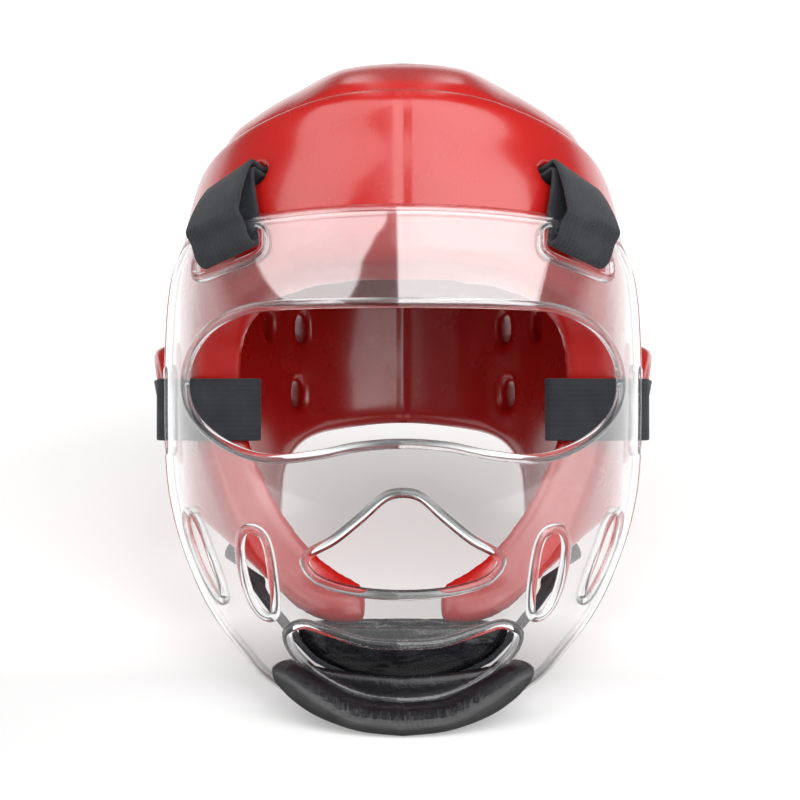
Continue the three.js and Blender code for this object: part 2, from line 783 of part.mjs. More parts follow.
function sideStraps() {
  const off = strapClearance + webbing / 2;
  const edges = both.map((way) => (way * sideStrapWidth) / 2 - sideStrapDrop);
  const hole = earSetback - 4.5;
  const slot = sideSlotPlace();
  const front = -templeSetback - off - 1.8;
  const low = (-sideStrapDrop - earHeight) / earHalfHeight;
  const crest = earOut + earRise * (1 - crestReach * earFlare + low * earLean) + off + 0.7;
  const lean = (earRise * earLean) / earHalfHeight;
  const inner = (y) => {
    const widths = edges.map((height) => foamHalfWidth(y, height, foamThickness));
    return Math.min(...widths) - off - 1.6;
  };
  const innerEnd = inner(-0.935 * templeSetback);
  const outer = slot.x - shieldThickness / 2 + rimRadius + off;
  const loop = [
    { x: inner(hole) - 0.6, y: hole - 2 },
    { x: inner(-0.32 * templeSetback), y: -0.32 * templeSetback },
    { x: inner(-0.74 * templeSetback), y: -0.74 * templeSetback },
    { x: innerEnd - 2.4, y: front + 2.2 },
    { x: innerEnd + 5, y: front - 0.6 },
    { x: innerEnd + 0.84 * foamThickness, y: front },
    { x: innerEnd + 1.21 * foamThickness, y: front + 0.2 },
    { x: slot.x - 6, y: slot.y - 2.6 },
    { x: slot.x, y: slot.y + 0.8 },
    { x: outer + 0.8, y: slot.y + 4.5 },
    { x: outer + 0.6, y: slot.y + 12 },
    { x: earOut + 7, y: earSetback - earHalfLength - 14, lean },
    { x: crest, y: earSetback - 0.82 * earHalfLength, lean },
    { x: crest + 0.5, y: earSetback - 0.5 * earHalfLength, lean },
    { x: crest - 1.5, y: hole - 1, lean },
    { x: crest - 6, y: hole },
    { x: earOut - earWall, y: hole },
  ];
  for (const side of both) {
    const places = loop.map(({ x, y, lean: tilt = 0 }) => ({
      middle: vec(side * x, y, -sideStrapDrop),
      across: vec(side * tilt, 0, 1),
    }));
    piece(`side_strap_${sideName(side)}`, band(places, sideStrapWidth, true), webbingBlack);
  }
}

function chinStrap() {
  const off = strapClearance + webbing / 2;
  const wall = (forward, drop) => {
    const y = -forward - 0.65 * chinStrapWidth;
    return foamHalfWidth(y, -drop, foamThickness) - off - 0.8;
  };
  const underCup = (angle) => [
    (cupHalfWidth + off) * Math.cos(angle),
    -cupSetback,
    -cupDrop - (cupHeight + off) * Math.sin(angle),
  ];
  const half = [
    [wall(0.05 * shellFront, 0.76 * napeDepth), -0.05 * shellFront, -0.76 * napeDepth],
    [wall(0.07 * shellFront, 0.97 * napeDepth), -0.07 * shellFront, -1.02 * napeDepth],
    [0.722 * shellHalfWidth, -0.214 * shellFront, -1.19 * napeDepth],
    [0.67 * shellHalfWidth, -0.375 * shellFront, -0.82 * jawDepth],
    [0.577 * shellHalfWidth, -0.56 * shellFront, -0.94 * jawDepth],
    underCup(radians(22)),
    underCup(radians(40)),
    underCup(radians(64)),
  ];
  const points = [...half, underCup(radians(90)), ...half.toReversed().map(([x, y, z]) => [-x, y, z])];
  const places = points.map((p) => ({ middle: vec(...p), across: vec(0, 1, 0) }));
  piece("chin_strap", band(places, chinStrapWidth, false), webbingBlack);
}

// Chin cup and chin guard

// Lower half of an ellipsoid, with a straight collar above it.
function bowl(shrink, collar) {
  const [turns, levels] = [16, 5];
  const [a, b, c] = [cupHalfWidth, cupHalfDepth, cupHeight].map((size) => size - shrink);
  const ring = (angle, z) =>
    Array.from({ length: turns }, (_, k) => {
      const t = (k / turns) * 2 * Math.PI;
      return vec(
        a * Math.cos(angle) * Math.cos(t),
        b * Math.cos(angle) * Math.sin(t) - cupSetback,
        z - c * Math.sin(angle) - cupDrop,
      );
    });
  const rings = Array.from({ length: levels }, (_, k) => ring((k / (levels - 0.6)) * (Math.PI / 2), 0));
  if (collar) rings.unshift(ring(0, collar));
  return loft(rings, rings[0].map((p) => new THREE.Vector2(p.x, p.y)));
}

function chinCup() {
  piece("chin_cup", bowl(0, 0).subtract(bowl(cupWall, cupWall)), vinylBlack);
}

// Sections of the chin guard from its middle to its end: heights of its front face as shares of the
// guard's drop, how far its top slopes up to the shield, and how far it reaches behind the shield and
// how much higher it is there.
const guardSections = [
  { at: 0, top: 0.953, bottom: 1, back: 0.62, hold: 1, rear: 0.9 },
  { at: 0.35, top: 0.935, bottom: 0.985, back: 0.6, hold: 1, rear: 0.8 },
  { at: 0.65, top: 0.875, bottom: 0.945, back: 0.5, hold: 0.9, rear: 0.3 },
  { at: 0.85, top: 0.825, bottom: 0.895, back: 0.4, hold: 0.4, rear: 0 },
  { at: 1, top: 0.802, bottom: 0.83, back: 0.3, hold: 0.1, rear: 0 },
];

function chinGuard() {
  const steps = 10;
  const rings = Array.from({ length: steps + 1 }, (_, k) => {
    const t = Math.sin(((k / steps) * 2 - 1) * (Math.PI / 2));
    const value = (name) => column(guardSections, name, Math.abs(t));
    const [top, bottom] = ["top", "bottom"].map((name) => -guardDrop * value(name));
    const peak = top + value("back") * guardThickness;
    const { turn, height } = shieldPlace(t * guardHalfWidth, peak);
    const { middle: face, out } = shieldFrame(turn, height);
    out.setZ(0).normalize();
    return [
      [-shieldThickness - value("hold") * guardHold, bottom + 1],
      [0.6 * guardThickness, bottom],
      [0.9 * guardThickness, bottom + 0.2 * (top - bottom)],
      [guardThickness, bottom + 0.6 * (top - bottom)],
      [0.92 * guardThickness, top],
      [0.2 * guardThickness, peak],
      [-0.5 * shieldThickness, peak],
      [-0.6 * shieldThickness, peak + value("rear") * guardThickness],
      [-shieldThickness - value("hold") * guardHold, peak + value("rear") * guardThickness],
    ].map(([reach, z]) => vec(face.x + out.x * reach, face.y + out.y * reach, z));
  });
  const endOut = vec(-1, -1, 0).normalize();
  const flat = rings[0].map((p) => corner([p.dot(endOut), p.z]));
  let fatShield = shieldSlab(gap);
  for (const places of [shieldEdge(), mouthOpening.places])
    fatShield = fatShield.add(rim(places, rimRadius + gap));
  piece("chin_guard", loft(rings, flat).subtract(fatShield).subtract(underFloor), rubberBlack);
}

// The floor that the headgear rests on: through the chin guard's lowest line and the nape's rear corners.
const guardRest = corner([
  -shieldFront * column(shieldSections, "front", -1) - 0.5 * guardThickness,
  -guardDrop,
]);
const napeRest = corner([
  shellBack * 0.95 * (1 - (archHalfWidth / shellHalfWidth) ** backPower) ** (1 / backPower),
  -napeDepth + napeSettle,
]);
const restTilt = Math.atan2(napeRest.y - guardRest.y, napeRest.x - guardRest.x);
const floorAt = (y) => guardRest.y + restFlat + (y - guardRest.x) * Math.tan(restTilt);
const underFloor = prism(
  [
    [-beyond, floorAt(-beyond)],
    [beyond, floorAt(beyond)],
    [beyond, -2 * beyond],
    [-beyond, -2 * beyond],
  ].map(corner),
  "x",
  -beyond,
  beyond,
);

sidePanels();
crownPanel();
earGuards();
faceShield();
topStraps();
sideStraps();
chinStrap();
chinCup();
chinGuard();

const group = new THREE.Group();
for (const [name, { solid, material }] of solids) {
  const mesh = solid.getMesh();
  const geometry = new THREE.BufferGeometry();
  geometry.setAttribute("position", new THREE.BufferAttribute(mesh.vertProperties, 3));
  geometry.setIndex(new THREE.BufferAttribute(mesh.triVerts, 1));
  geometry.computeVertexNormals();
  const made = new THREE.Mesh(geometry, material);
  made.name = name;
  group.add(made);
}
group.rotation.x = -restTilt;
const bounds = new THREE.Box3().setFromObject(group, true);
const centre = bounds.getCenter(vec(0, 0, 0));
group.position.set(-centre.x, -centre.y, -bounds.min.z);

export default group;
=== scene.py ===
from math import cos, pi, radians, sin

import bpy
import numpy as np
from mathutils import Matrix, Vector, noise
from mathutils.geometry import delaunay_2d_cdt


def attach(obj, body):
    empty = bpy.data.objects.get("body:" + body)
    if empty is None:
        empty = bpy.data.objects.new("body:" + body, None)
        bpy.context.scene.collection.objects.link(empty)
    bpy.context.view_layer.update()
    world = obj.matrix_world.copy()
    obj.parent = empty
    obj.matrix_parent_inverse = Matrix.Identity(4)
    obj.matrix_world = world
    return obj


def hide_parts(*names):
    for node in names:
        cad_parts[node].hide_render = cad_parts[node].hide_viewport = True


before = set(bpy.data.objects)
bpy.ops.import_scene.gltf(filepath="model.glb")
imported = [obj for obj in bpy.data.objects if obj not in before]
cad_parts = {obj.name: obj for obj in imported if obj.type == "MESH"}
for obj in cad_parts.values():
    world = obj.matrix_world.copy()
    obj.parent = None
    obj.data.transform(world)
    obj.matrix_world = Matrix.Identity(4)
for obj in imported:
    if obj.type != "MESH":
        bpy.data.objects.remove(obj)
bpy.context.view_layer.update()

# How the head's own frame lies in the part's
TILT = radians(19.0945)
SHIFT = np.array([0, 15.3504, 85.0905])
TURN = np.array([[1, 0, 0], [0, cos(TILT), sin(TILT)], [0, -sin(TILT), cos(TILT)]])

# Sizes of the solids in millimetres, and shares of them
SHELL_HALF_WIDTH = 97
SHELL_FRONT = 112
SHELL_BACK = 118
CROWN_HEIGHT = 150.5
SHELL_DROP = 115
FOAM = 19
CROWN_INSET = 4
SEAM_HEIGHT = 107
SEAM_SLOPE = 0.2
SEAM_ARCH = 16
JAW_DEPTH = 90
CHIN_GAP = 28
BROW_HEIGHT = 55
TEMPLE_SETBACK = 62
NAPE_DEPTH = 58
ARCH_HALF_WIDTH = 54
ARCH_HEIGHT = 11
EAR_SETBACK = 14
EAR_HEIGHT = -2
EAR_HALF_LENGTH = 24
EAR_HALF_HEIGHT = 29
EAR_RISE = 11.6
EAR_WALL = 13
EAR_SINK = 2
EAR_FLARE = 0.3
EAR_LEAN = 0.46
SHIELD_HALF_WIDTH = 100.4
SHIELD_FRONT = 135
SHIELD_RISE = 76.5
SHIELD_DROP = 125
SHIELD_WALL = 2.6
RIM = 2.1
EYE_HALF_WIDTH = 90.5
EYE_RISE = 38.5
EYE_DROP = 23.5
NOSE_HALF_WIDTH = 39.5
NOSE_TOP = 36.7
NOSE_LENGTH = 40.8
MOUTH_HALF_WIDTH = 47
MOUTH_TOP = 89.5
MOUTH_LENGTH = 30.5
SIDE_VENT_HALF_WIDTH = 7.3
SIDE_VENT_HALF_HEIGHT = 18
SIDE_SLOT_HALF_WIDTH = 5.5
SIDE_SLOT_INSET = 11
WEBBING = 1.8
CLEARANCE = 0.5
TOP_STRAP = 31
SIDE_STRAP = 26
SIDE_STRAP_DROP = 4
CHIN_STRAP = 20
CUP = (43, 24, 22.4)
CUP_WALL = 6
CUP_SETBACK = 86
CUP_DROP = 91
GUARD_HALF_WIDTH = 49
GUARD_DROP = 133
GUARD_THICKNESS = 10
GUARD_HOLD = 4
GAP = 0.35

# Shaping that the looks add, in millimetres
CREASE_DEPTH = 0.4
CREASE_WIDTH = 1.5
GROOVE_DEPTH = 0.9
GROOVE_WIDTH = 1.7
BROW_LIFT = 2.6
PAD_RISE = 2.8
PAD_SINK = 1.2
FLANK_DROP = 3.4
CROWN_FORWARD = 3
SEAM_TUCK = 4.5
SEAM_TUCK_REACH = 7
TOP_STRAP_TRIM = 2.5
TOP_STRAP_INSET = 1.3
FOLD_DEPTH = 0.9
RIB_DEPTH = 0.5

BEYOND = 260
FLOOR_LEVEL = 0.0001
FLOOR_REACH = 6
CAMERA_DISTANCE = 1235
LENS = 126.36
SENSOR_WIDTH = 36
FRAME_SHIFT = -3 / 800
FLAT_SCALE = np.array([100, 1])
SIDES = (-1, 1)


def place(points):
    """From the head's own frame in millimetres to the part's frame in metres."""
    return (np.asarray(points, float) @ TURN.T + SHIFT) * 0.001


def unit(v):
    return v / np.maximum(np.linalg.norm(v, axis=-1, keepdims=True), 1e-9)


def smooth_step(value, low, high):
    share = np.clip((value - low) / (high - low), 0, 1)
    return share * share * (3 - 2 * share)


def rounded(value, power):
    """The sine or cosine of a turn, drawn towards a squarer outline."""
    return np.sign(value) * np.abs(value) ** (2 / power)


def read(rows, at):
    """A table's columns at several places of its first column, smooth through its rows."""
    x, v = rows[:, 0], rows[:, 1:]
    at = np.clip(np.asarray(at, float), x[0], x[-1])
    i = np.clip(np.searchsorted(x, at, side="right") - 1, 0, len(x) - 2)
    slope = np.empty_like(v)
    slope[1:-1] = (v[2:] - v[:-2]) / (x[2:] - x[:-2])[:, None]
    slope[0] = (v[1] - v[0]) / (x[1] - x[0])
    slope[-1] = (v[-1] - v[-2]) / (x[-1] - x[-2])
    span = (x[i + 1] - x[i])[..., None]
    t = ((at - x[i]) / (x[i + 1] - x[i]))[..., None]
    return (
        v[i] * (2 * t**3 - 3 * t**2 + 1)
        + slope[i] * span * (t**3 - 2 * t**2 + t)
        + v[i + 1] * (3 * t**2 - 2 * t**3)
        + slope[i + 1] * span * (t**3 - t**2)
    )


def run(points, count, closed):
    """A smooth run of points through a few, evenly spaced."""
    p = np.asarray(points, float)
    if closed:
        p = np.vstack([p[-2:], p, p[:3]])
    step = np.maximum(np.linalg.norm(np.diff(p, axis=0), axis=1), 1e-6) ** 0.6
    at = np.concatenate([[0], np.cumsum(step)])
    rows = np.column_stack([at, p])
    low, high = (at[2], at[-3]) if closed else (at[0], at[-1])
    fine = read(rows, np.linspace(low, high, 8 * count + 1))
    along = np.concatenate([[0], np.cumsum(np.linalg.norm(np.diff(fine, axis=0), axis=1))])
    marks = np.linspace(0, along[-1], count + 1)[: count if closed else count + 1]
    return np.column_stack([np.interp(marks, along, fine[:, k]) for k in range(p.shape[1])])


def mesh_object(name, points, faces, smooth=True):
    mesh = bpy.data.meshes.new(name)
    mesh.from_pydata([tuple(p) for p in points], [], [tuple(int(i) for i in f) for f in faces])
    mesh.update()
    made = bpy.data.objects.new(name, mesh)
    bpy.context.scene.collection.objects.link(made)
    if smooth:
        mesh.polygons.foreach_set("use_smooth", [True] * len(mesh.polygons))
    return made


def grid_faces(rows, columns, close_rows=False, close_columns=True):
    """Quads over a grid of points, row by row."""
    r = np.arange(rows if close_rows else rows - 1)[:, None]
    c = np.arange(columns if close_columns else columns - 1)[None, :]
    r2, c2 = (r + 1) % rows, (c + 1) % columns
    quads = np.stack([r * columns + c, r * columns + c2, r2 * columns + c2, r2 * columns + c], -1)
    return quads.reshape(-1, 4).tolist()


def loft(name, rings, ends=True):
    """A tube or block through closed rings, with a flat face at each end, or closed on its first ring."""
    rings = np.asarray(rings, float)
    rows, columns = rings.shape[:2]
    faces = grid_faces(rows, columns, close_rows=not ends)
    if ends:
        faces += [list(range(columns))[::-1], list(range((rows - 1) * columns, rows * columns))]
    made = mesh_object(name, rings.reshape(-1, 3), faces)
    face_out(made)
    return made


def face_out(made):
    """Turns the faces of a closed piece outwards."""
    mesh = made.data
    mesh.calc_loop_triangles()
    tri = np.empty(len(mesh.loop_triangles) * 3, int)
    mesh.loop_triangles.foreach_get("vertices", tri)
    a, b, c = points_of(made)[tri.reshape(-1, 3)].transpose(1, 0, 2)
    if np.einsum("ij,ij->i", a, np.cross(b, c)).sum() < 0:
        mesh.flip_normals()


def prism(name, flat, axis, low, high):
    """A block over a flat outline, along one axis."""
    flat = np.asarray(flat, float)
    rings = []
    for at in (low, high):
        ring = np.empty((len(flat), 3))
        others = [k for k in range(3) if k != axis]
        ring[:, axis] = at
        ring[:, others] = flat
        rings.append(ring)
    return loft(name, rings)


def bake(made):
    """Applies a piece's modifiers."""
    graph = bpy.context.evaluated_depsgraph_get()
    mesh = bpy.data.meshes.new_from_object(made.evaluated_get(graph))
    made.modifiers.clear()
    old = made.data
    made.data = mesh
    bpy.data.meshes.remove(old)


def combine(made, tools, way="DIFFERENCE"):
    """Cuts the tools from a piece, or keeps what lies inside them, and removes them."""
    for tool in tools:
        modifier = made.modifiers.new("combine", "BOOLEAN")
        modifier.operation = way
        modifier.solver = "MANIFOLD"
        modifier.object = tool
    bake(made)
    for tool in tools:
        bpy.data.objects.remove(tool)


def remesh(made, size):
    modifier = made.modifiers.new("remesh", "REMESH")
    modifier.mode = "VOXEL"
    modifier.voxel_size = size
    modifier.use_smooth_shade = True
    bake(made)


def points_of(made):
    co = np.empty(len(made.data.vertices) * 3)
    made.data.vertices.foreach_get("co", co)
    return co.reshape(-1, 3)


def set_points(made, co):
    made.data.vertices.foreach_set("co", np.ascontiguousarray(co, float).ravel())
    made.data.update()


def relax(made, rounds, share=0.6):
    """Rounds a piece's edges by drawing each point towards its neighbours."""
    co = points_of(made)
    edges = np.empty(len(made.data.edges) * 2, int)
    made.data.edges.foreach_get("vertices", edges)
    a, b = edges.reshape(-1, 2).T
    ends, others = np.concatenate([a, b]), np.concatenate([b, a])
    degree = np.maximum(np.bincount(ends, minlength=len(co)), 1)
    for _ in range(rounds):
        mean = [np.bincount(ends, co[others, k], len(co)) / degree for k in range(3)]
        co = co + share * (np.stack(mean, 1) - co)
    set_points(made, co)


def finish_piece(made, nodes, material):
    """Puts a piece into the part's frame, down to the floor at most, in place of its CAD nodes."""
    co = place(points_of(made))
    co[:, 2] = np.maximum(co[:, 2], FLOOR_LEVEL)
    set_points(made, co)
    made.data.materials.clear()
    made.data.materials.append(MATERIALS[material])
    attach(made, "root")
    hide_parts(*nodes)


# Headguard foam: level sections as in the frame (place, width, front, back, power)
SHELL = np.array([
    (-1, 0.8, 0.79, 0.88, 1.8),
    (-0.87, 0.86, 0.83, 0.9, 1.8),
    (-0.77, 0.94, 0.866, 0.92, 1.8),
    (-0.65, 0.965, 0.905, 0.93, 1.8),
    (-0.5, 0.985, 0.95, 0.95, 1.85),
    (-0.3, 0.99, 0.982, 0.98, 2.05),
    (-0.09, 0.998, 0.995, 1, 2.35),
    (0.13, 1, 1, 1, 2.5),
    (0.33, 1, 1, 0.995, 2.5),
    (0.475, 0.975, 0.991, 0.97, 2.5),
    (0.594, 0.93, 0.96, 0.93, 2.5),
    (0.706, 0.862, 0.905, 0.868, 2.5),
    (0.812, 0.768, 0.85, 0.77, 2.5),
    (0.917, 0.54, 0.65, 0.58, 2.4),
    (0.977, 0.32, 0.39, 0.36, 2.2),
    (1, 0.04, 0.05, 0.05, 2),
])
BACK_POWER = 2.3


def shell_rows():
    """The section table against the length up the dome's side, with real heights."""
    height = np.where(SHELL[:, 0] > 0, SHELL[:, 0] * CROWN_HEIGHT, SHELL[:, 0] * SHELL_DROP)
    side = np.hypot(np.diff(height), np.diff(SHELL[:, 1] * SHELL_HALF_WIDTH))
    return np.column_stack([np.concatenate([[0], np.cumsum(side)]), height, SHELL[:, 1:]])


SHELL_ROWS = shell_rows()


def shell_grid(turns, lengths):
    """Points of the foam's outer surface over turns and lengths up the side."""
    rows = read(SHELL_ROWS, lengths)
    height, width, front, back, power = (rows[:, k][:, None] for k in range(5))
    s, c = np.sin(turns)[None, :], np.cos(turns)[None, :]
    power = np.where(c > 0, power, BACK_POWER)
    reach = np.where(c > 0, -SHELL_FRONT * front, SHELL_BACK * back)
    x = SHELL_HALF_WIDTH * width * np.sign(s) * np.abs(s) ** (2 / power)
    y = reach * np.abs(c) ** (2 / power)
    return np.stack(np.broadcast_arrays(x, y, height), -1).astype(float)


def dome_mesh(name, inset):
    """The closed dome of the headguard, at some depth under its outer surface."""
    columns, levels = 240, 150
    turns = (np.arange(columns) + 0.5) / columns * 2 * pi
    lengths = np.linspace(SHELL_ROWS[0, 0], SHELL_ROWS[-1, 0], levels)
    p = shell_grid(turns, lengths)
    across = np.roll(p, -1, 1) - np.roll(p, 1, 1)
    up = np.gradient(p, axis=0)
    normal = unit(np.cross(across, up))
    p = p - normal * inset
    if inset:
        p = np.concatenate([p[:1] - [0, 0, 2 * inset], p])
    rows = len(p)
    points = np.vstack([p.reshape(-1, 3), p[0].mean(0), p[-1].mean(0) + [0, 0, 0.1]])
    faces = grid_faces(rows, columns)
    low, high = rows * columns, rows * columns + 1
    last = (rows - 1) * columns
    for k in range(columns):
        k2 = (k + 1) % columns
        faces += [[low, k2, k], [high, last + k, last + k2]]
    made = mesh_object(name, points, faces)
    face_out(made)
    return made


# Edges of the foam: forward of the temple and level, depth and drop, and the neck arch's half width and drop
FACE_EDGE = [
    (2.2, 1.145), (1.04, 1.018), (0.62, 0.836), (0.34, 0.673), (0.1, 0.436), (0, 0.127), (0, -0.122),
    (0.04, -0.3), (0.14, -0.533), (0.31, -0.778), (0.52, -0.933), (0.66, -1.133), (2.2, -1.267),
]
JAW_EDGE = [
    (-1.536, 1.15), (-0.81, 1.12), (-0.728, 0.97), (-0.674, 0.656), (-0.616, 0.375), (-0.53, 0.1),
    (-0.4, -0.12), (-0.25, -0.22), (0, -0.2), (0.3, -0.06), (0.661, 0), (1.339, 0), (1.339, 4.375),
    (-1.536, 4.375),
]
ARCH = [(1.037, 3.98), (1.037, 0.681), (1, 0.383), (0.833, 0.149), (0.444, 0.043), (0, 0)]


def face_cut():
    reach = SHELL_FRONT - TEMPLE_SETBACK
    flat = [
        (-TEMPLE_SETBACK - forward * reach, level * (BROW_HEIGHT if level > 0 else JAW_DEPTH))
        for forward, level in FACE_EDGE
    ]
    return prism("face_cut", run(flat, 90, False), 0, -BEYOND, BEYOND)


def jaw_cut():
    flat = [
        (depth * (SHELL_FRONT if depth < 0 else SHELL_BACK), -NAPE_DEPTH - drop * (JAW_DEPTH - NAPE_DEPTH))
        for depth, drop in JAW_EDGE
    ]
    flat = np.vstack([run(flat[:-2], 80, False), flat[-2:]])
    return prism("jaw_cut", flat, 0, -BEYOND, BEYOND)


def arch_cut():
    half = [(a * ARCH_HALF_WIDTH, -ARCH_HEIGHT - d * (NAPE_DEPTH - ARCH_HEIGHT)) for a, d in ARCH]
    whole = [(-x, z) for x, z in half] + half[:-1][::-1]
    return prism("arch_cut", run(whole, 90, False), 1, 0, BEYOND)


def over_seam(x, y, z):
    """How far places lie above the crown's seam."""
    return z - (SEAM_HEIGHT - SEAM_ARCH * (x / SHELL_HALF_WIDTH) ** 2 - SEAM_SLOPE * y)


def above_seam(lift):
    """A tool for all that lies above the seam."""
    reach = 1.2 * SHELL_HALF_WIDTH
    x = np.linspace(-reach, reach, 60)
    z = SEAM_HEIGHT + lift - SEAM_ARCH * (x / SHELL_HALF_WIDTH) ** 2
    flat = np.vstack([np.column_stack([x, z]), [(reach, BEYOND), (-reach, BEYOND)]])
    rings = [
        np.column_stack([flat[:, 0], np.full(len(flat), y), flat[:, 1] - SEAM_SLOPE * y])
        for y in (-BEYOND, BEYOND)
    ]
    return loft("above_seam", rings)


def foam_frame(turn, height, tilt=0.0):
    """Place and directions of a hole in the foam's outer surface."""
    length = np.interp(height, SHELL_ROWS[:, 1], SHELL_ROWS[:, 0])
    turns = np.array([turn - 0.01, turn, turn + 0.01])
    p = shell_grid(turns, np.array([length - 1, length, length + 1]))
    out = unit(np.cross(p[1, 2] - p[1, 0], p[2, 1] - p[0, 1]))
    along = Vector((-out[1], out[0], 0)).normalized()
    along.rotate(Matrix.Rotation(tilt, 3, Vector(out)))
    along = np.array(along)
    up = np.cross(out, along)
    return p[1, 1], out, along, up if up[2] > 0 else -up


def foam_hole(hole, half_width, half_height, power, flare=0.0):
    """A tool for a hole square to the foam's surface, a little wider at the surface where it flares."""
    middle, out, along, up = hole
    a = (np.arange(40) + 0.5) / 40 * 2 * pi
    x, z = rounded(np.cos(a), power), rounded(np.sin(a), power)
    rings = []
    for reach, grow in ((-1.7 * FOAM, 0), (-3, 0), (0, flare), (FOAM, 2 * flare)):
        rings.append(
            middle + out * reach
            + along * (x * (half_width + grow))[:, None]
            + up * (z * (half_height + grow))[:, None]
        )
    return loft("foam_hole", rings)


# Vents at the back (turn, height) and the top straps' slits (turn, height, tilt)
VENTS = [
    (radians(146), 0.224 * CROWN_HEIGHT), (radians(130), 0.231 * CROWN_HEIGHT),
    (radians(144), 0.02 * CROWN_HEIGHT),
]
SLIT = (radians(46), 0.5875 * CROWN_HEIGHT, radians(24))
SLIT_HALF_HEIGHT = 4
VENT_HALF_WIDTH = 3.2
VENT_HALF_HEIGHT = 7.5


def slit_frame(side):
    return foam_frame(side * SLIT[0], SLIT[1], -side * SLIT[2])


def ear_cut(side):
    a = (np.arange(72) + 0.5) / 72 * 2 * pi
    flat = np.column_stack([
        EAR_SETBACK + np.cos(a) * (EAR_HALF_LENGTH + GAP),
        EAR_HEIGHT + np.sin(a) * (EAR_HALF_HEIGHT + GAP),
    ])
    low, high = sorted((side * 0.3 * SHELL_HALF_WIDTH, side * BEYOND))
    return prism("ear_cut", flat, 0, low, high)


def foam_panels():
    """Both side panels as one ring, creased at the front and grooved at the back where they meet."""
    ring = dome_mesh("foam_panels", 0)
    half_gap = CHIN_GAP / 2
    gap = [(-half_gap, -BEYOND), (half_gap, -BEYOND), (half_gap, 0), (-half_gap, 0)]
    chin = prism("chin", gap, 1, -BEYOND, 0)
    combine(ring, [dome_mesh("hollow", FOAM), face_cut(), jaw_cut(), arch_cut(), above_seam(0), chin])
    remesh(ring, 1.7)
    relax(ring, 12)
    half_width = TOP_STRAP / 2 + 1.5
    tools = []
    for side in SIDES:
        tools += [ear_cut(side), foam_hole(slit_frame(side), half_width, SLIT_HALF_HEIGHT, 6, 0.8)]
        for turn, height in VENTS:
            vent = foam_frame(side * turn, height)
            tools.append(foam_hole(vent, VENT_HALF_WIDTH, VENT_HALF_HEIGHT, 2.4, 0.6))
    combine(ring, tools)
    remesh(ring, 1.75)
    relax(ring, 7)
    co = points_of(ring)
    x, y, z = co.T
    ahead = np.clip((-y - 60) / 30, 0, 1) * np.clip((z - 50) / 15, 0, 1)
    outside = np.hypot(x, y) > 103
    crease = CREASE_DEPTH * np.exp(-((x / CREASE_WIDTH) ** 2))
    groove = GROOVE_DEPTH * np.exp(-((x / GROOVE_WIDTH) ** 2)) * np.clip((y - 60) / 20, 0, 1)
    co[:, 1] += crease * ahead - groove * np.where(outside, 1, -1)
    arched = 1 - smooth_step(np.abs(x), 12, 60)
    co[:, 2] += BROW_LIFT * arched * smooth_step(over_seam(x, y, z), -18, -2) * smooth_step(-y, 60, 85)
    set_points(ring, co)
    finish_piece(ring, ["side_panel_left", "side_panel_right"], "dipped_foam")


def crown_panel():
    """The crown, with a raised pad in the middle, dropped flanks and its edge tucked down behind the seam."""
    crown = dome_mesh("crown_foam", CROWN_INSET)
    combine(crown, [dome_mesh("hollow", FOAM)])
    combine(crown, [above_seam(GAP)], "INTERSECT")
    remesh(crown, 1.6)
    relax(crown, 12)
    co = points_of(crown)
    x, y, z = co.T
    pad = 1 - smooth_step(np.abs(x), 24, 48)
    front = smooth_step(y, -114, -84) * (1 - smooth_step(y, -80, -15))
    flank = (1 - pad) * (1 - smooth_step(np.abs(x), 62, 84))
    tuck = 1 - smooth_step(over_seam(x, y, z), 0, SEAM_TUCK_REACH)
    co[:, 2] += PAD_RISE * pad * front - PAD_SINK * pad - FLANK_DROP * flank - SEAM_TUCK * tuck
    co[:, 1] -= CROWN_FORWARD * (1 - smooth_step(y, -98, -66))
    set_points(crown, co)
    finish_piece(crown, ["crown_panel"], "dipped_foam")


# Ear guards: section as shares of the half length or height, and of the wall below or rise above the foam
EAR_SECTION = [
    (0.58, -0.7), (0.8, -1), (0.94, -0.93), (0.96, 0), (0.93, 0.45), (0.84, 0.88), (0.74, 1), (0.66, 0.9),
    (0.58, 0.5),
]
EAR_OUT = SHELL_HALF_WIDTH * read(SHELL[:, :2], [EAR_HEIGHT / SHELL_DROP])[0, 0] - EAR_SINK
CREST_REACH = 0.74


def ear_guards():
    section = run(EAR_SECTION, 44, True)
    a = np.arange(120) / 120 * 2 * pi
    for side in SIDES:
        reach, out = section[:, 0][None, :], section[:, 1][None, :]
        back, up = reach * np.cos(a)[:, None], reach * np.sin(a)[:, None]
        rise = np.where(out > 0, out * EAR_RISE * (1 + EAR_FLARE * back + EAR_LEAN * up), out * EAR_WALL)
        y, z = EAR_SETBACK + back * EAR_HALF_LENGTH, EAR_HEIGHT + up * EAR_HALF_HEIGHT
        rings = np.stack([side * (EAR_OUT + rise), y, z], -1)
        name = "left" if side > 0 else "right"
        made = loft(f"{name}_ear_ring", rings, ends=False)
        finish_piece(made, [f"ear_guard_{name}"], "dipped_foam")


# Clear shield (place, width, front, edge, droop)
SHIELD = np.array([
    (-1, 0.27, 0.865, 0.765, 0),
    (-0.953, 0.44, 0.873, 0.725, 0),
    (-0.898, 0.56, 0.882, 0.685, 0),
    (-0.827, 0.647, 0.893, 0.64, 0),
    (-0.732, 0.753, 0.908, 0.575, 0),
    (-0.63, 0.837, 0.92, 0.5, 0),
    (-0.472, 0.924, 0.955, 0.43, 0),
    (-0.315, 0.976, 0.98, 0.385, 0),
    (-0.157, 0.996, 0.995, 0.36, 0),
    (0, 1, 1, 0.355, 0),
    (0.26, 0.996, 0.995, 0.36, 0.02),
    (0.523, 0.985, 0.98, 0.385, 0.05),
    (0.72, 0.967, 0.955, 0.43, 0.1),
    (0.863, 0.945, 0.93, 0.47, 0.15),
    (1, 0.905, 0.9, 0.52, 0.2),
])


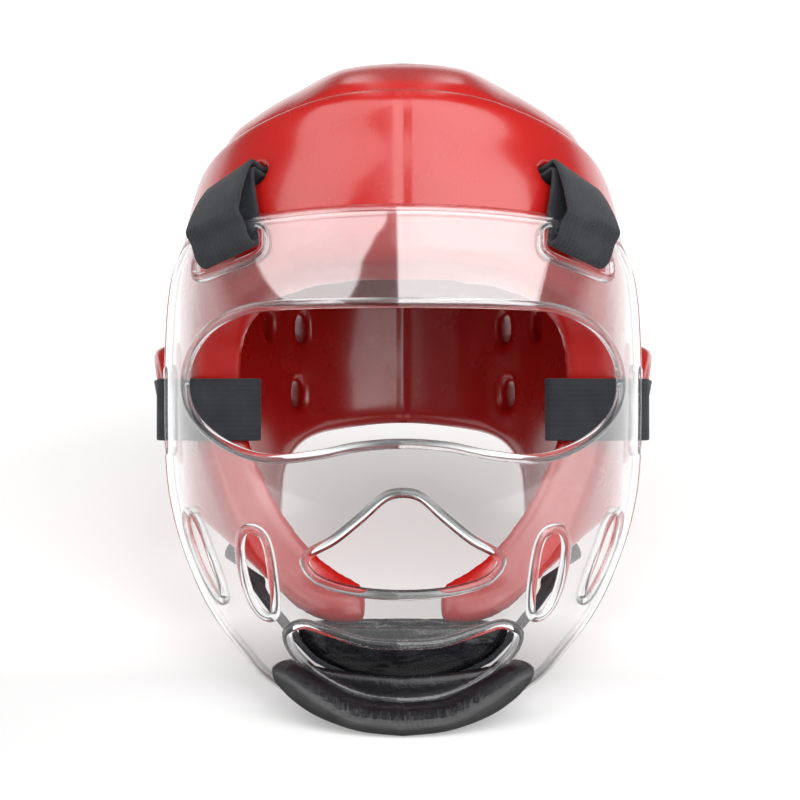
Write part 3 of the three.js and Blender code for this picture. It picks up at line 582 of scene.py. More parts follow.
def shield_at(height):
    height = np.asarray(height, float)
    return np.where(height > 0, height / SHIELD_RISE, height / SHIELD_DROP)


def shield_surface(turn, height):
    turn, height = np.broadcast_arrays(np.asarray(turn, float), np.asarray(height, float))
    rows = read(SHIELD, shield_at(height))
    width, front, edge, droop = (rows[..., k] for k in range(4))
    front, edge = -SHIELD_FRONT * front, -SHIELD_FRONT * edge
    x = SHIELD_HALF_WIDTH * width * np.sin(turn)
    y = edge + (front - edge) * np.cos(turn)
    return np.stack([x, y, height - SHIELD_RISE * droop * (1 - np.cos(turn))], -1)


def shield_normal(turn, height):
    step = 0.02
    high = np.minimum(np.asarray(height, float) + 1, SHIELD_RISE)
    low = np.maximum(np.asarray(height, float) - 1, -SHIELD_DROP)
    along = shield_surface(turn + step, height) - shield_surface(turn - step, height)
    up = shield_surface(turn, high) - shield_surface(turn, low)
    return unit(np.cross(along, up)), unit(along), np.linalg.norm(along, axis=-1) / (2 * step), unit(up)


def shield_place(x, z):
    """Turn and height on the shield of places in the front view."""
    x, z = np.asarray(x, float), np.asarray(z, float)
    height, turn = z.copy(), np.zeros_like(x)
    for _ in range(12):
        rows = read(SHIELD, shield_at(height))
        turn = np.arcsin(np.clip(x / (SHIELD_HALF_WIDTH * rows[..., 0]), -1, 1))
        height = z + SHIELD_RISE * rows[..., 3] * (1 - np.cos(turn))
    return turn, height


# Halves of the openings in the shield (share of the half width, level)
EYE = [(0, 1), (0.5, 0.985), (0.72, 0.93), (0.88, 0.74), (0.975, 0.45), (1, 0.12), (0.96, -0.25),
       (0.86, -0.62), (0.73, -0.88), (0.585, -1), (0.38, -0.93), (0.2, -0.79), (0, -0.735)]
NOSE = [(0, 0), (0.18, 0.04), (0.42, 0.24), (0.7, 0.46), (0.95, 0.6), (1, 0.7), (0.86, 0.86),
        (0.5, 0.965), (0, 1)]
MOUTH = [(0, 0.26), (0.32, 0.23), (0.66, 0.08), (0.85, 0), (0.97, 0.06), (1, 0.17), (0.93, 0.4),
         (0.68, 0.72), (0.34, 0.945), (0, 1)]


def front_opening(rows, half_width, level_height, count):
    """An opening that is drawn in the front view, in turns and heights."""
    half = [(a * half_width, level_height(level)) for a, level in rows]
    flat = run(half + [(-x, z) for x, z in half[1:-1][::-1]], count, True)
    turn, height = shield_place(flat[:, 0], flat[:, 1])
    return np.column_stack([turn, height])


def surface_slot(x, z, half_width, half_height, lean, power, count):
    """A rounded slot that is drawn on the shield's surface, in turns and heights."""
    turn, height = shield_place(np.array([x]), np.array([z]))
    scale = shield_normal(turn, height)[2][0]
    a = np.arange(count) / count * 2 * pi
    px, pz = rounded(np.cos(a), power) * half_width, rounded(np.sin(a), power) * half_height
    qx, qz = px * cos(lean) - pz * sin(lean), px * sin(lean) + pz * cos(lean)
    flat = np.column_stack([turn[0] + qx / scale, height[0] + qz])
    return run(flat * FLAT_SCALE, count, True) / FLAT_SCALE


def side_slot_place():
    scale = shield_normal(np.array([pi / 2]), np.array([-SIDE_STRAP_DROP]))[2][0]
    return shield_surface(pi / 2 - SIDE_SLOT_INSET / scale, -SIDE_STRAP_DROP)


# Top slots and side vents (place across, height, lean)
TOP_SLOT = (0.725 * SHIELD_HALF_WIDTH, 0.775 * SHIELD_RISE, radians(-13))
TOP_SLOT_HALF_HEIGHT = 7.5
SIDE_VENTS = [(59.2, -69.4, radians(9.5)), (82.8, -63.8, radians(-4))]


def shield_openings():
    """The eye opening, the nose and mouth vents, and each side's slots and vents."""
    loops = [
        front_opening(EYE, EYE_HALF_WIDTH, lambda v: v * (EYE_RISE if v > 0 else EYE_DROP), 260),
        front_opening(NOSE, NOSE_HALF_WIDTH, lambda v: -NOSE_TOP - NOSE_LENGTH * v, 130),
        front_opening(MOUTH, MOUTH_HALF_WIDTH, lambda v: -MOUTH_TOP - MOUTH_LENGTH * v, 130),
    ]
    slot_x, _, slot_z = side_slot_place()
    top_half_width = TOP_STRAP / 2 + RIM + 1
    side_half_height = SIDE_STRAP / 2 + RIM + 2.5
    for side in SIDES:
        x, z, lean = TOP_SLOT
        loops.append(surface_slot(side * x, z, top_half_width, TOP_SLOT_HALF_HEIGHT, side * lean, 4, 70))
        for x, z, lean in SIDE_VENTS:
            size = (SIDE_VENT_HALF_WIDTH, SIDE_VENT_HALF_HEIGHT)
            loops.append(surface_slot(side * x, z, *size, side * lean, 2.6, 60))
        loops.append(surface_slot(side * slot_x, slot_z, SIDE_SLOT_HALF_WIDTH, side_half_height, 0, 4, 60))
    return loops


def shield_outline():
    """The shield's own edge in turns and heights, with rounded corners."""
    quarter = pi / 2
    loop = []
    for corner_turn, corner_height, turn_radius, height_radius, start in (
        (-quarter, SHIELD_RISE, 0.13, 11, pi), (quarter, SHIELD_RISE, 0.13, 11, pi / 2),
        (quarter, -SHIELD_DROP, 0.25, 5, 0), (-quarter, -SHIELD_DROP, 0.25, 5, -pi / 2),
    ):
        for k in range(9):
            a = start - k / 8 * pi / 2
            loop.append((
                corner_turn - np.sign(corner_turn) * turn_radius + cos(a) * turn_radius,
                corner_height - np.sign(corner_height) * height_radius + sin(a) * height_radius,
            ))
    loop = np.array(loop) * FLAT_SCALE
    fine = []
    for p, q in zip(loop, np.roll(loop, -1, 0)):
        steps = max(int(np.linalg.norm(q - p) / 1.8), 1)
        fine += [p + (q - p) * k / steps for k in range(steps)]
    return np.array(fine) / FLAT_SCALE


def inside(points, loop):
    """Which flat points lie inside a closed loop."""
    x, y = points.T
    found = np.zeros(len(points), bool)
    for (x1, y1), (x2, y2) in zip(loop, np.roll(loop, -1, 0)):
        if y1 == y2:
            continue
        crosses = (y1 > y) != (y2 > y)
        found ^= crosses & (x < (x2 - x1) * (y - y1) / (y2 - y1) + x1)
    return found


def face_shield():
    """The clear sheet, meshed flat in turns and heights and then curved, and a round bead on each edge."""
    openings = shield_openings()
    outline = shield_outline()
    step = 2.8
    gx, gy = np.meshgrid(np.arange(-157, 157.1, step), np.arange(-SHIELD_DROP, SHIELD_RISE, step))
    grid = np.column_stack([gx.ravel() + 0.37, gy.ravel() + 0.21])
    edge = outline * FLAT_SCALE
    grid = grid[inside(grid, edge)]
    loops = [edge] + [loop * FLAT_SCALE for loop in openings]
    for loop in loops[1:]:
        grid = grid[~inside(grid, loop)]
    border = np.vstack(loops)
    near = np.array([np.min(np.linalg.norm(border - p, axis=1)) for p in grid])
    grid = grid[near > 0.45 * step]
    points, edges, base = [], [], 0
    for loop in loops:
        points += [Vector(p) for p in loop]
        edges += [(base + k, base + (k + 1) % len(loop)) for k in range(len(loop))]
        base += len(loop)
    points += [Vector(p) for p in grid]
    flat, _, faces, *_ = delaunay_2d_cdt(points, edges, [], 0, 1e-5)
    flat = np.array([tuple(p) for p in flat])
    faces = np.array(faces)
    middle = flat[faces].mean(1)
    keep = inside(middle, edge)
    for loop in loops[1:]:
        keep &= ~inside(middle, loop)
    faces = faces[keep]
    turn, height = (flat / FLAT_SCALE).T
    outer = shield_surface(turn, height)
    normal = shield_normal(turn, height)[0]
    inner = outer - normal * SHIELD_WALL
    count = len(flat)
    sides = {side: None for a, b, c in faces for side in ((a, b), (b, c), (c, a))}
    walls = [(q, p, p + count, q + count) for p, q in sides if (q, p) not in sides]
    all_faces = faces.tolist() + [(c + count, b + count, a + count) for a, b, c in faces] + walls
    sheet = mesh_object("shield_sheet", np.vstack([outer, inner]), all_faces)
    face_out(sheet)
    finish_piece(sheet, ["face_shield"], "clear_shield")
    sheet.data.normals_split_custom_set_from_vertices(np.vstack([normal, -normal]) @ TURN.T)
    for k, loop in enumerate([outline] + openings):
        turn, height = loop.T
        out, *_ = shield_normal(turn, height)
        line = shield_surface(turn, height) - out * SHIELD_WALL / 2
        way = unit(np.roll(line, -1, 0) - np.roll(line, 1, 0))
        side = unit(np.cross(way, out))
        a = np.arange(14) / 14 * 2 * pi
        rings = (
            line[:, None, :]
            + out[:, None, :] * (np.cos(a) * RIM)[None, :, None]
            + side[:, None, :] * (np.sin(a) * RIM)[None, :, None]
        )
        bead = loft(f"shield_rim_{k + 1}", rings, ends=False)
        finish_piece(bead, ["face_shield"], "clear_shield")
        bead.data.materials[0] = MATERIALS["rim"]


# Webbing
def foam_half_width(y, height, inset):
    """How far out the foam's surface lies at a depth and height, at some depth under the outside."""
    length = np.interp(height, SHELL_ROWS[:, 1], SHELL_ROWS[:, 0])
    turns = np.linspace(0.01, pi - 0.01, 400)
    p = shell_grid(turns, np.array([length - 1, length, length + 1]))
    across = np.gradient(p[1], axis=0)
    normal = unit(np.cross(across, p[2] - p[0]))
    q = p[1] - normal * inset
    return float(np.interp(y, q[:, 1], q[:, 0]))


def band(name, places, width, closed, count):
    """Webbing along a run of places, each with its middle and the way across, with UVs in metres."""
    places = np.array([np.concatenate([m, a]) for m, a in places])
    p = run(places, count, closed)
    line, across = p[:, :3], p[:, 3:]
    if closed:
        way = unit(np.roll(line, -1, 0) - np.roll(line, 1, 0))
    else:
        way = unit(np.gradient(line, axis=0))
    across = unit(across - way * np.sum(across * way, -1, keepdims=True))
    out = np.cross(way, across)
    half, thick = width / 2, WEBBING / 2
    upper = [
        (share * half, thick * (1 if abs(share) < 0.97 else 0.75))
        for share in (-0.985, -0.95, -0.6, -0.2, 0.2, 0.6, 0.95, 0.985)
    ]
    flat = np.array([(-half, 0)] + upper + [(half, 0)] + [(x, -t) for x, t in upper[::-1]])
    rings = (
        line[:, None, :] + across[:, None, :] * flat[None, :, 0:1] + out[:, None, :] * flat[None, :, 1:2]
    )
    made = loft(name, rings, ends=not closed)
    length = np.concatenate([[0], np.cumsum(np.linalg.norm(np.diff(line, axis=0), axis=1))])
    columns = len(flat)
    uv = made.data.uv_layers.new(name="weave")
    index = np.empty(len(made.data.loops), int)
    made.data.loops.foreach_get("vertex_index", index)
    u, v = length[index // columns], flat[index % columns, 0]
    if closed:
        total = length[-1] + np.linalg.norm(line[0] - line[-1])
        faces = [(face.loop_start, face.loop_total) for face in made.data.polygons]
        wraps = [np.ptp(u[start : start + size]) > 0.5 * total for start, size in faces]
        wraps = np.repeat(wraps, [size for _, size in faces])
        u = np.where(wraps & (u < 0.5 * total), u + total, u)
    uv.data.foreach_set("uv", np.column_stack([u, v]).ravel() * 0.001)
    return made


def top_straps():
    for side in SIDES:
        middle, out, along, up = slit_frame(side)
        turn, height = shield_place(np.array([side * TOP_SLOT[0]]), np.array([TOP_SLOT[1]]))
        normal, across, _, _ = (v[0] for v in shield_normal(turn, height))
        across = np.array(Matrix.Rotation(side * TOP_SLOT[2], 3, Vector(normal)) @ Vector(across))
        slot_up = np.cross(normal, across)
        slot_up = slot_up if slot_up[2] > 0 else -slot_up
        slot = shield_surface(turn, height)[0]
        layer = (SLIT_HALF_HEIGHT - WEBBING / 2) / 2
        off = RIM + WEBBING / 2 + CLEARANCE
        at_slit = lambda o, u: (middle + out * o + up * u, along)
        at_slot = lambda o, u: (slot + normal * (o - SHIELD_WALL / 2) + slot_up * u, across)
        h = TOP_SLOT_HALF_HEIGHT
        places = [
            at_slit(-0.75 * FOAM, layer), at_slit(-0.2 * FOAM, layer), at_slit(3.4, layer + 0.4),
            at_slot(off + 2.5, h + 6), at_slot(off + 0.6, h), at_slot(off - 1, 1), at_slot(-1, -1.2),
            at_slot(-off - 1, 1), at_slot(-off - 2.4, h), at_slit(2.4, -layer - 0.4),
            at_slit(-0.2 * FOAM, -layer), at_slit(-0.75 * FOAM, -layer),
        ]
        name = "left" if side > 0 else "right"
        places = [(m - TOP_STRAP_INSET * a * np.sign(a[0] * side), a) for m, a in places]
        made = band(f"{name}_top_webbing", places, TOP_STRAP - TOP_STRAP_TRIM, True, 180)
        finish_piece(made, [f"top_strap_{name}"], "webbing")


def side_straps():
    off = CLEARANCE + WEBBING / 2
    hole = EAR_SETBACK - 4.5
    slot = side_slot_place()
    front = -TEMPLE_SETBACK - off - 1.8
    low = (-SIDE_STRAP_DROP - EAR_HEIGHT) / EAR_HALF_HEIGHT
    crest = EAR_OUT + EAR_RISE * (1 - CREST_REACH * EAR_FLARE + low * EAR_LEAN) + off + 0.7
    lean = EAR_RISE * EAR_LEAN / EAR_HALF_HEIGHT
    edges = [way * SIDE_STRAP / 2 - SIDE_STRAP_DROP for way in SIDES]
    inner = lambda y: min(foam_half_width(y, height, FOAM) for height in edges) - off - 1.6
    end = inner(-0.935 * TEMPLE_SETBACK)
    outer = slot[0] - SHIELD_WALL / 2 + RIM + off
    loop = [
        (inner(hole) - 0.6, hole - 2, 0),
        (inner(-0.32 * TEMPLE_SETBACK), -0.32 * TEMPLE_SETBACK, 0),
        (inner(-0.74 * TEMPLE_SETBACK), -0.74 * TEMPLE_SETBACK, 0),
        (end - 2.4, front + 2.2, 0), (end + 5, front - 0.6, 0), (end + 0.84 * FOAM, front, 0),
        (end + 1.21 * FOAM, front + 0.2, 0), (slot[0] - 6, slot[1] - 2.6, 0), (slot[0], slot[1] + 0.8, 0),
        (outer + 0.8, slot[1] + 4.5, 0), (outer + 0.6, slot[1] + 12, 0),
        (EAR_OUT + 7, EAR_SETBACK - EAR_HALF_LENGTH - 14, lean),
        (crest, EAR_SETBACK - 0.82 * EAR_HALF_LENGTH, lean),
        (crest + 0.5, EAR_SETBACK - 0.5 * EAR_HALF_LENGTH, lean), (crest - 1.5, hole - 1, lean),
        (crest - 6, hole, 0), (EAR_OUT - EAR_WALL, hole, 0),
    ]
    for side in SIDES:
        places = [((side * x, y, -SIDE_STRAP_DROP), (side * tilt, 0, 1)) for x, y, tilt in loop]
        name = "left" if side > 0 else "right"
        made = band(f"{name}_side_webbing", places, SIDE_STRAP, True, 260)
        finish_piece(made, [f"side_strap_{name}"], "webbing")


def chin_strap():
    off = CLEARANCE + WEBBING / 2
    wall = lambda forward, drop: foam_half_width(-forward - 0.65 * CHIN_STRAP, -drop, FOAM) - off - 0.8
    under = lambda a: ((CUP[0] + off) * cos(a), -CUP_SETBACK, -CUP_DROP - (CUP[2] + off) * sin(a))
    half = [
        (wall(0.05 * SHELL_FRONT, 0.76 * NAPE_DEPTH), -0.05 * SHELL_FRONT, -0.76 * NAPE_DEPTH),
        (wall(0.07 * SHELL_FRONT, 0.97 * NAPE_DEPTH), -0.07 * SHELL_FRONT, -1.02 * NAPE_DEPTH),
        (0.722 * SHELL_HALF_WIDTH, -0.214 * SHELL_FRONT, -1.19 * NAPE_DEPTH),
        (0.67 * SHELL_HALF_WIDTH, -0.375 * SHELL_FRONT, -0.82 * JAW_DEPTH),
        (0.577 * SHELL_HALF_WIDTH, -0.56 * SHELL_FRONT, -0.94 * JAW_DEPTH),
        under(radians(22)), under(radians(40)), under(radians(64)),
    ]
    line = half + [under(pi / 2)] + [(-x, y, z) for x, y, z in half[::-1]]
    made = band("chin_webbing", [(p, (0, 1, 0)) for p in line], CHIN_STRAP, False, 260)
    finish_piece(made, ["chin_strap"], "webbing")


# Chin cup
def chin_cup():
    """A soft bowl with a rounded lip, open at the top, with folds pressed into it."""
    columns, levels = 160, 40
    t = np.arange(columns) / columns * 2 * pi
    a, b, c = CUP
    lip_rise = 0.45 * CUP_WALL / 2
    angles = [k / (levels - 1) * pi / 2 * 0.985 for k in range(levels)]
    outer = [(a, b, c, angle, 0.0) for angle in angles[::-1]]
    inner = [(a - CUP_WALL, b - CUP_WALL, c - CUP_WALL, angle, 0.0) for angle in angles]
    lip = []
    for k in range(1, 8):
        turn = k / 8 * pi
        grow = CUP_WALL / 2 * (1 + cos(turn))
        lip.append((a - CUP_WALL + grow, b - CUP_WALL + grow, c, 0.0, lip_rise * sin(turn)))
    rings = []
    for ra, rb, rc, angle, lift in outer + lip + inner:
        rings.append(np.column_stack([
            ra * cos(angle) * np.cos(t), rb * cos(angle) * np.sin(t) - CUP_SETBACK,
            np.full(columns, -CUP_DROP - rc * sin(angle) + lift - lip_rise),
        ]))
    made = loft("chin_cup_pad", rings)
    co = points_of(made)
    normals = np.zeros(len(co) * 3)
    made.data.vertex_normals.foreach_get("vector", normals)
    stretched = co * [0.055, 0.1, 0.16]
    folds = np.array([noise.ridged_multi_fractal(Vector(p), 1.0, 2.1, 2, 1.0, 2.0) for p in stretched])
    co -= FOLD_DEPTH * smooth_step(folds, 0.9, 1.9)[:, None] * normals.reshape(-1, 3)
    set_points(made, co)
    finish_piece(made, ["chin_cup"], "cup_vinyl")


# Chin guard (place, top, bottom, back, hold, rear)
GUARD = np.array([
    (0, 0.953, 1, 0.62, 1, 0.9),
    (0.35, 0.935, 0.985, 0.6, 1, 0.8),
    (0.65, 0.875, 0.945, 0.5, 0.9, 0.3),
    (0.85, 0.825, 0.895, 0.4, 0.4, 0),
    (1, 0.802, 0.83, 0.3, 0.1, 0),
])


def chin_guard():
    """The guard in sections across the chin. Marks on its points say what is top and what is frayed."""
    stations = 300
    rings, on_top, frayed = [], [], []
    for k in range(stations + 1):
        t = sin((k / stations * 2 - 1) * pi / 2)
        top, bottom, back, hold, rear = read(GUARD, [abs(t)])[0]
        top, bottom = -GUARD_DROP * top, -GUARD_DROP * bottom
        peak = top + back * GUARD_THICKNESS
        turn, height = shield_place(np.array([t * GUARD_HALF_WIDTH]), np.array([peak]))
        face = shield_surface(turn, height)[0]
        out = shield_normal(turn, height)[0][0] * [1, 1, 0]
        out = out / np.linalg.norm(out)
        lip = top + 0.3 * (bottom - top) * (1 - t * t)
        section = [
            (-SHIELD_WALL - hold * GUARD_HOLD, bottom + 1), (0.6 * GUARD_THICKNESS, bottom),
            (0.9 * GUARD_THICKNESS, bottom + 0.2 * (lip - bottom)),
            (GUARD_THICKNESS, bottom + 0.6 * (lip - bottom)), (0.94 * GUARD_THICKNESS, lip),
            (0.2 * GUARD_THICKNESS, peak), (-0.5 * SHIELD_WALL, peak),
            (-0.6 * SHIELD_WALL, peak + rear * GUARD_THICKNESS),
            (-SHIELD_WALL - hold * GUARD_HOLD, peak + rear * GUARD_THICKNESS),
        ]
        end = max(0.0, 1 - (1 - abs(t)) / 0.06)
        section = np.array(section)
        middle = section.mean(0)
        section = middle + (section - middle) * (1 - 0.55 * end**2)
        fine = run(section, 40, True)
        above = fine[:, 1] - lip
        on_top.append(smooth_step(above, 0.2, 1.4))
        frayed.append(on_top[-1] * (1 - smooth_step(above, 3.5, 6)) * (1 - smooth_step(abs(t), 0.4, 0.8)))
        rib = 0.5 + noise.noise(Vector((t * GUARD_HALF_WIDTH * 0.8, 0, 0)))
        away, up = fine[:, 0], fine[:, 1] - RIB_DEPTH * frayed[-1] * rib
        rings.append(np.column_stack([face[0] + out[0] * away, face[1] + out[1] * away, up]))
    made = loft("chin_bumper", rings)
    for mark, values in (("on_top", on_top), ("frayed", frayed)):
        made.data.attributes.new(mark, "FLOAT", "POINT").data.foreach_set("value", np.concatenate(values))
    finish_piece(made, ["chin_guard"], "guard_rubber")


# Materials
class Nodes:
    """The nodes of a material or of the world, made with few words."""

    def __init__(self, owner, output="ShaderNodeOutputMaterial"):
        owner.use_nodes = True
        self.owner = owner
        self.tree = owner.node_tree
        self.tree.nodes.clear()
        self.output = self.add(output)

    def add(self, kind, values=None, **settings):
        made = self.tree.nodes.new(kind)
        for key, value in settings.items():
            setattr(made, key, value)
        for key, value in (values or {}).items():
            if isinstance(value, bpy.types.NodeSocket):
                self.tree.links.new(value, made.inputs[key])
            else:
                made.inputs[key].default_value = value
        return made

    def noise(self, where, scale, detail=2.0, roughness=0.5):
        values = {"Vector": where, "Scale": scale, "Detail": detail, "Roughness": roughness}
        return self.add("ShaderNodeTexNoise", values).outputs["Fac"]

    def math(self, way, a, b=0.0, c=0.0):
        return self.add("ShaderNodeMath", {0: a, 1: b, 2: c}, operation=way).outputs[0]

    def spread(self, value, low, high, to_low, to_high):
        values = {"Value": value, "From Min": low, "From Max": high, "To Min": to_low, "To Max": to_high}
        return self.add("ShaderNodeMapRange", values).outputs["Result"]

    def blend(self, share, first, second):
        return self.add("ShaderNodeMix", {0: share, 6: first, 7: second}, data_type="RGBA").outputs[2]

    def mix(self, share, first, second):
        return self.add("ShaderNodeMixShader", {0: share, 1: first.outputs[0], 2: second.outputs[0]})

    def bump(self, height, strength, distance, normal=None):
        values = {"Height": height, "Strength": strength, "Distance": distance}
        if normal is not None:
            values["Normal"] = normal
        return self.add("ShaderNodeBump", values).outputs["Normal"]

    def show(self, shader):
        self.tree.links.new(shader, self.output.inputs["Surface"])
        return self.owner


def dipped_foam():
    """Glossy dipped skin, a little uneven in colour and surface."""
    n = Nodes(bpy.data.materials.new("dipped_foam_skin"))
    where = n.add("ShaderNodeTexCoord").outputs["Object"]
    broad = n.noise(where, 14, 2)
    fine = n.noise(where, 420, 3)
    colour = n.blend(n.spread(broad, 0.35, 0.65, 0, 1), (0.47, 0.008, 0.006, 1), (0.53, 0.012, 0.009, 1))
    skin = n.bump(fine, 0.06, 0.0004)
    skin = n.bump(n.noise(where, 45, 2), 0.12, 0.0012, skin)
    shader = n.add("ShaderNodeBsdfPrincipled", {
        "Base Color": colour,
        "Roughness": n.spread(n.noise(where, 60, 3), 0.3, 0.7, 0.22, 0.3),
        "Normal": skin,
        "Specular IOR Level": 0.6,
        "Coat Weight": 0.45,
        "Coat Roughness": 0.12,
    })
    return n.show(shader.outputs[0])


def webbing():
    """A woven band: ribs along it, picks across them, painted shade in the weave's hollows with its crests
    lighter, and some fuzz and wear.
    """
    rib_pitch, pick_pitch = 0.0021, 0.0011
    n = Nodes(bpy.data.materials.new("webbing_weave"))
    uv = n.add("ShaderNodeUVMap", uv_map="weave").outputs["UV"]
    split = n.add("ShaderNodeSeparateXYZ", {"Vector": uv})
    along, across = split.outputs["X"], split.outputs["Y"]
    rib = n.math("SINE", n.math("MULTIPLY", across, 2 * pi / rib_pitch))
    pick = n.math("SINE", n.math("MULTIPLY", along, 2 * pi / pick_pitch))
    weave = n.math("ADD", n.math("MULTIPLY", rib, pick), n.math("MULTIPLY", rib, 0.35))
    where = n.add("ShaderNodeTexCoord").outputs["Object"]
    fuzz = n.noise(where, 1500, 2)
    height = n.math("ADD", n.math("MULTIPLY", weave, 0.3), fuzz)
    # Painted shade: the colour is darker where the weave lies low and lighter on its crests.
    weave_shade = n.spread(weave, -1.2, 1.2, 0, 1)
    dark = n.blend(weave_shade, (0.012, 0.013, 0.016, 1), (0.032, 0.035, 0.042, 1))
    colour = n.blend(n.spread(n.noise(where, 90, 3), 0.35, 0.7, 0, 0.5), dark, (0.045, 0.049, 0.058, 1))
    shader = n.add("ShaderNodeBsdfPrincipled", {
        "Base Color": colour,
        "Roughness": 0.78,
        "Normal": n.bump(height, 0.5, 0.0004),
        "Specular IOR Level": 0.3,
        "Sheen Weight": 0.12,
        "Sheen Roughness": 0.5,
    })
    return n.show(shader.outputs[0])


def cup_vinyl():
    """Dark glossy vinyl with fine creases over the cup's folds, with painted highlight on the crease ridges
    and painted shade between them.
    """
    n = Nodes(bpy.data.materials.new("cup_wrinkled_vinyl"))
    where = n.add("ShaderNodeTexCoord").outputs["Object"]
    stretched = n.add("ShaderNodeMapping", {"Vector": where, "Scale": (0.55, 1.0, 1.5)}).outputs["Vector"]
    creases = n.add("ShaderNodeTexNoise", {
        "Vector": stretched, "Scale": 75.0, "Detail": 1.5, "Roughness": 0.45, "Distortion": 1.6,
    }, noise_type="RIDGED_MULTIFRACTAL").outputs["Fac"]
    grain = n.noise(where, 900, 2)
    height = n.math("ADD", creases, n.math("MULTIPLY", grain, 0.012))
    # Painted highlight and shade: lighter on the crease ridges, darker between them.
    colour = n.blend(n.spread(creases, 0.3, 1.4, 0, 1), (0.012, 0.012, 0.015, 1), (0.04, 0.041, 0.046, 1))
    shader = n.add("ShaderNodeBsdfPrincipled", {
        "Base Color": colour,
        "Roughness": n.spread(grain, 0.3, 0.7, 0.2, 0.32),
        "Normal": n.bump(height, 1.0, 0.0018),
        "Specular IOR Level": 0.8,
    })
    return n.show(shader.outputs[0])


def guard_rubber():
    """Matte skin with a glossy, nearly black top, ribbed where it is frayed, with painted highlight on the
    rib crests and painted shade between them.
    """
    n = Nodes(bpy.data.materials.new("guard_skin"))
    where = n.add("ShaderNodeTexCoord").outputs["Object"]
    on_top = n.add("ShaderNodeAttribute", attribute_name="on_top").outputs["Fac"]
    frayed = n.add("ShaderNodeAttribute", attribute_name="frayed").outputs["Fac"]
    grain = n.noise(where, 700, 3)
    wear = n.noise(where, 60, 3)
    sideways = n.add("ShaderNodeMapping", {"Vector": where, "Scale": (1100, 130, 130)}).outputs["Vector"]
    ribs = n.noise(sideways, 1.0, 3, 0.6)
    colour = n.blend(n.spread(wear, 0.35, 0.7, 0, 1), (0.03, 0.03, 0.032, 1), (0.055, 0.055, 0.057, 1))
    # Painted highlight and shade on the ribs: their crests lighter, the grooves between them nearly black.
    bright = n.math("MULTIPLY", n.spread(ribs, 0.5, 0.75, 0, 1), frayed)
    ribbed = n.blend(bright, (0.006, 0.006, 0.008, 1), (0.06, 0.062, 0.068, 1))
    colour = n.blend(on_top, colour, ribbed)
    height = n.math("ADD", grain, n.math("MULTIPLY", n.math("MULTIPLY", ribs, frayed), 8.0))
    matte = n.spread(wear, 0.3, 0.7, 0.4, 0.52)
    shader = n.add("ShaderNodeBsdfPrincipled", {
        "Base Color": colour,
        "Roughness": n.math("SUBTRACT", matte, n.math("MULTIPLY", on_top, 0.18)),
        "Normal": n.bump(height, 0.4, 0.0006),
        "Specular IOR Level": 0.5,
    })
    return n.show(shader.outputs[0])


def clear_sheet():
    """Clear plastic with a little haze, which mirrors more where it is seen aslant."""
    n = Nodes(bpy.data.materials.new("clear_sheet"))
    where = n.add("ShaderNodeTexCoord").outputs["Object"]
    wave = n.bump(n.noise(where, 18, 1), 0.05, 0.002)
    facing = n.add("ShaderNodeLayerWeight", {"Blend": 0.5, "Normal": wave}).outputs["Facing"]
    mirror = n.math("MULTIPLY_ADD", n.math("POWER", facing, 5.0), 2.2, 0.125)
    gloss = n.add("ShaderNodeBsdfGlossy", {"Color": (1, 1, 1, 1), "Roughness": 0.06, "Normal": wave})
    haze = n.add("ShaderNodeBsdfDiffuse", {"Color": (0.92, 0.93, 0.95, 1)})
    clear = n.add("ShaderNodeBsdfTransparent", {"Color": (0.945, 0.94, 0.94, 1)})
    veiled = n.mix(0.022, clear, haze)
    return n.show(n.mix(n.math("MINIMUM", mirror, 0.92), veiled, gloss).outputs[0])


def clear_rim():
    """The glassy bead, which lets light through to the pieces behind it."""
    n = Nodes(bpy.data.materials.new("clear_rim"))
    glass = n.add("ShaderNodeBsdfPrincipled", {
        "Base Color": (0.96, 0.965, 0.97, 1),
        "Roughness": 0.04,
        "Transmission Weight": 1.0,
        "IOR": 1.22,
        "Coat Weight": 1.0,
        "Coat Roughness": 0.04,
    })
    clear = n.add("ShaderNodeBsdfTransparent", {"Color": (0.94, 0.945, 0.95, 1)})
    shadow = n.add("ShaderNodeLightPath").outputs["Is Shadow Ray"]
    return n.show(n.mix(shadow, glass, clear).outputs[0])


def floor_material():
    """White far away and a little greyer near by. The pieces see it dimmer than the camera does, and
    their reflections see it bright at the sides and behind and dark in front."""
    n = Nodes(bpy.data.materials.new("pale_floor"))
    where = n.add("ShaderNodeTexCoord").outputs["Object"]
    split = n.add("ShaderNodeSeparateXYZ", {"Vector": where})
    x, y = split.outputs["X"], split.outputs["Y"]
    far = n.add("ShaderNodeVectorMath", {0: where}, operation="LENGTH").outputs["Value"]
    rays = n.add("ShaderNodeLightPath").outputs
    glow = n.math("ADD", n.spread(y, -0.09, -0.04, 0.33, 0.55), n.spread(far, 0.25, 0.9, 0, 0.7))
    glow = n.math("MULTIPLY", glow, n.spread(rays["Is Diffuse Ray"], 0, 1, 1, 0.15))
    seen = n.add("ShaderNodeBsdfPrincipled", {
        "Base Color": (0.62, 0.62, 0.62, 1),
        "Roughness": 0.7,
        "Specular IOR Level": 0.1,
        "Emission Color": (1, 0.998, 0.992, 1),
        "Emission Strength": glow,
    })
    forward = n.math("MAXIMUM", n.math("MULTIPLY", y, -1.0), 0.02)
    aside = n.math("DIVIDE", n.math("ABSOLUTE", x), forward)
    mirrored = n.add("ShaderNodeEmission", {"Strength": n.spread(aside, 0.5, 1.6, 0.2, 1.2)})
    return n.show(n.mix(rays["Is Glossy Ray"], seen, mirrored).outputs[0])


MATERIALS = {
    "dipped_foam": dipped_foam(),
    "webbing": webbing(),
    "cup_vinyl": cup_vinyl(),
    "guard_rubber": guard_rubber(),
    "clear_shield": clear_sheet(),
    "rim": clear_rim(),
}


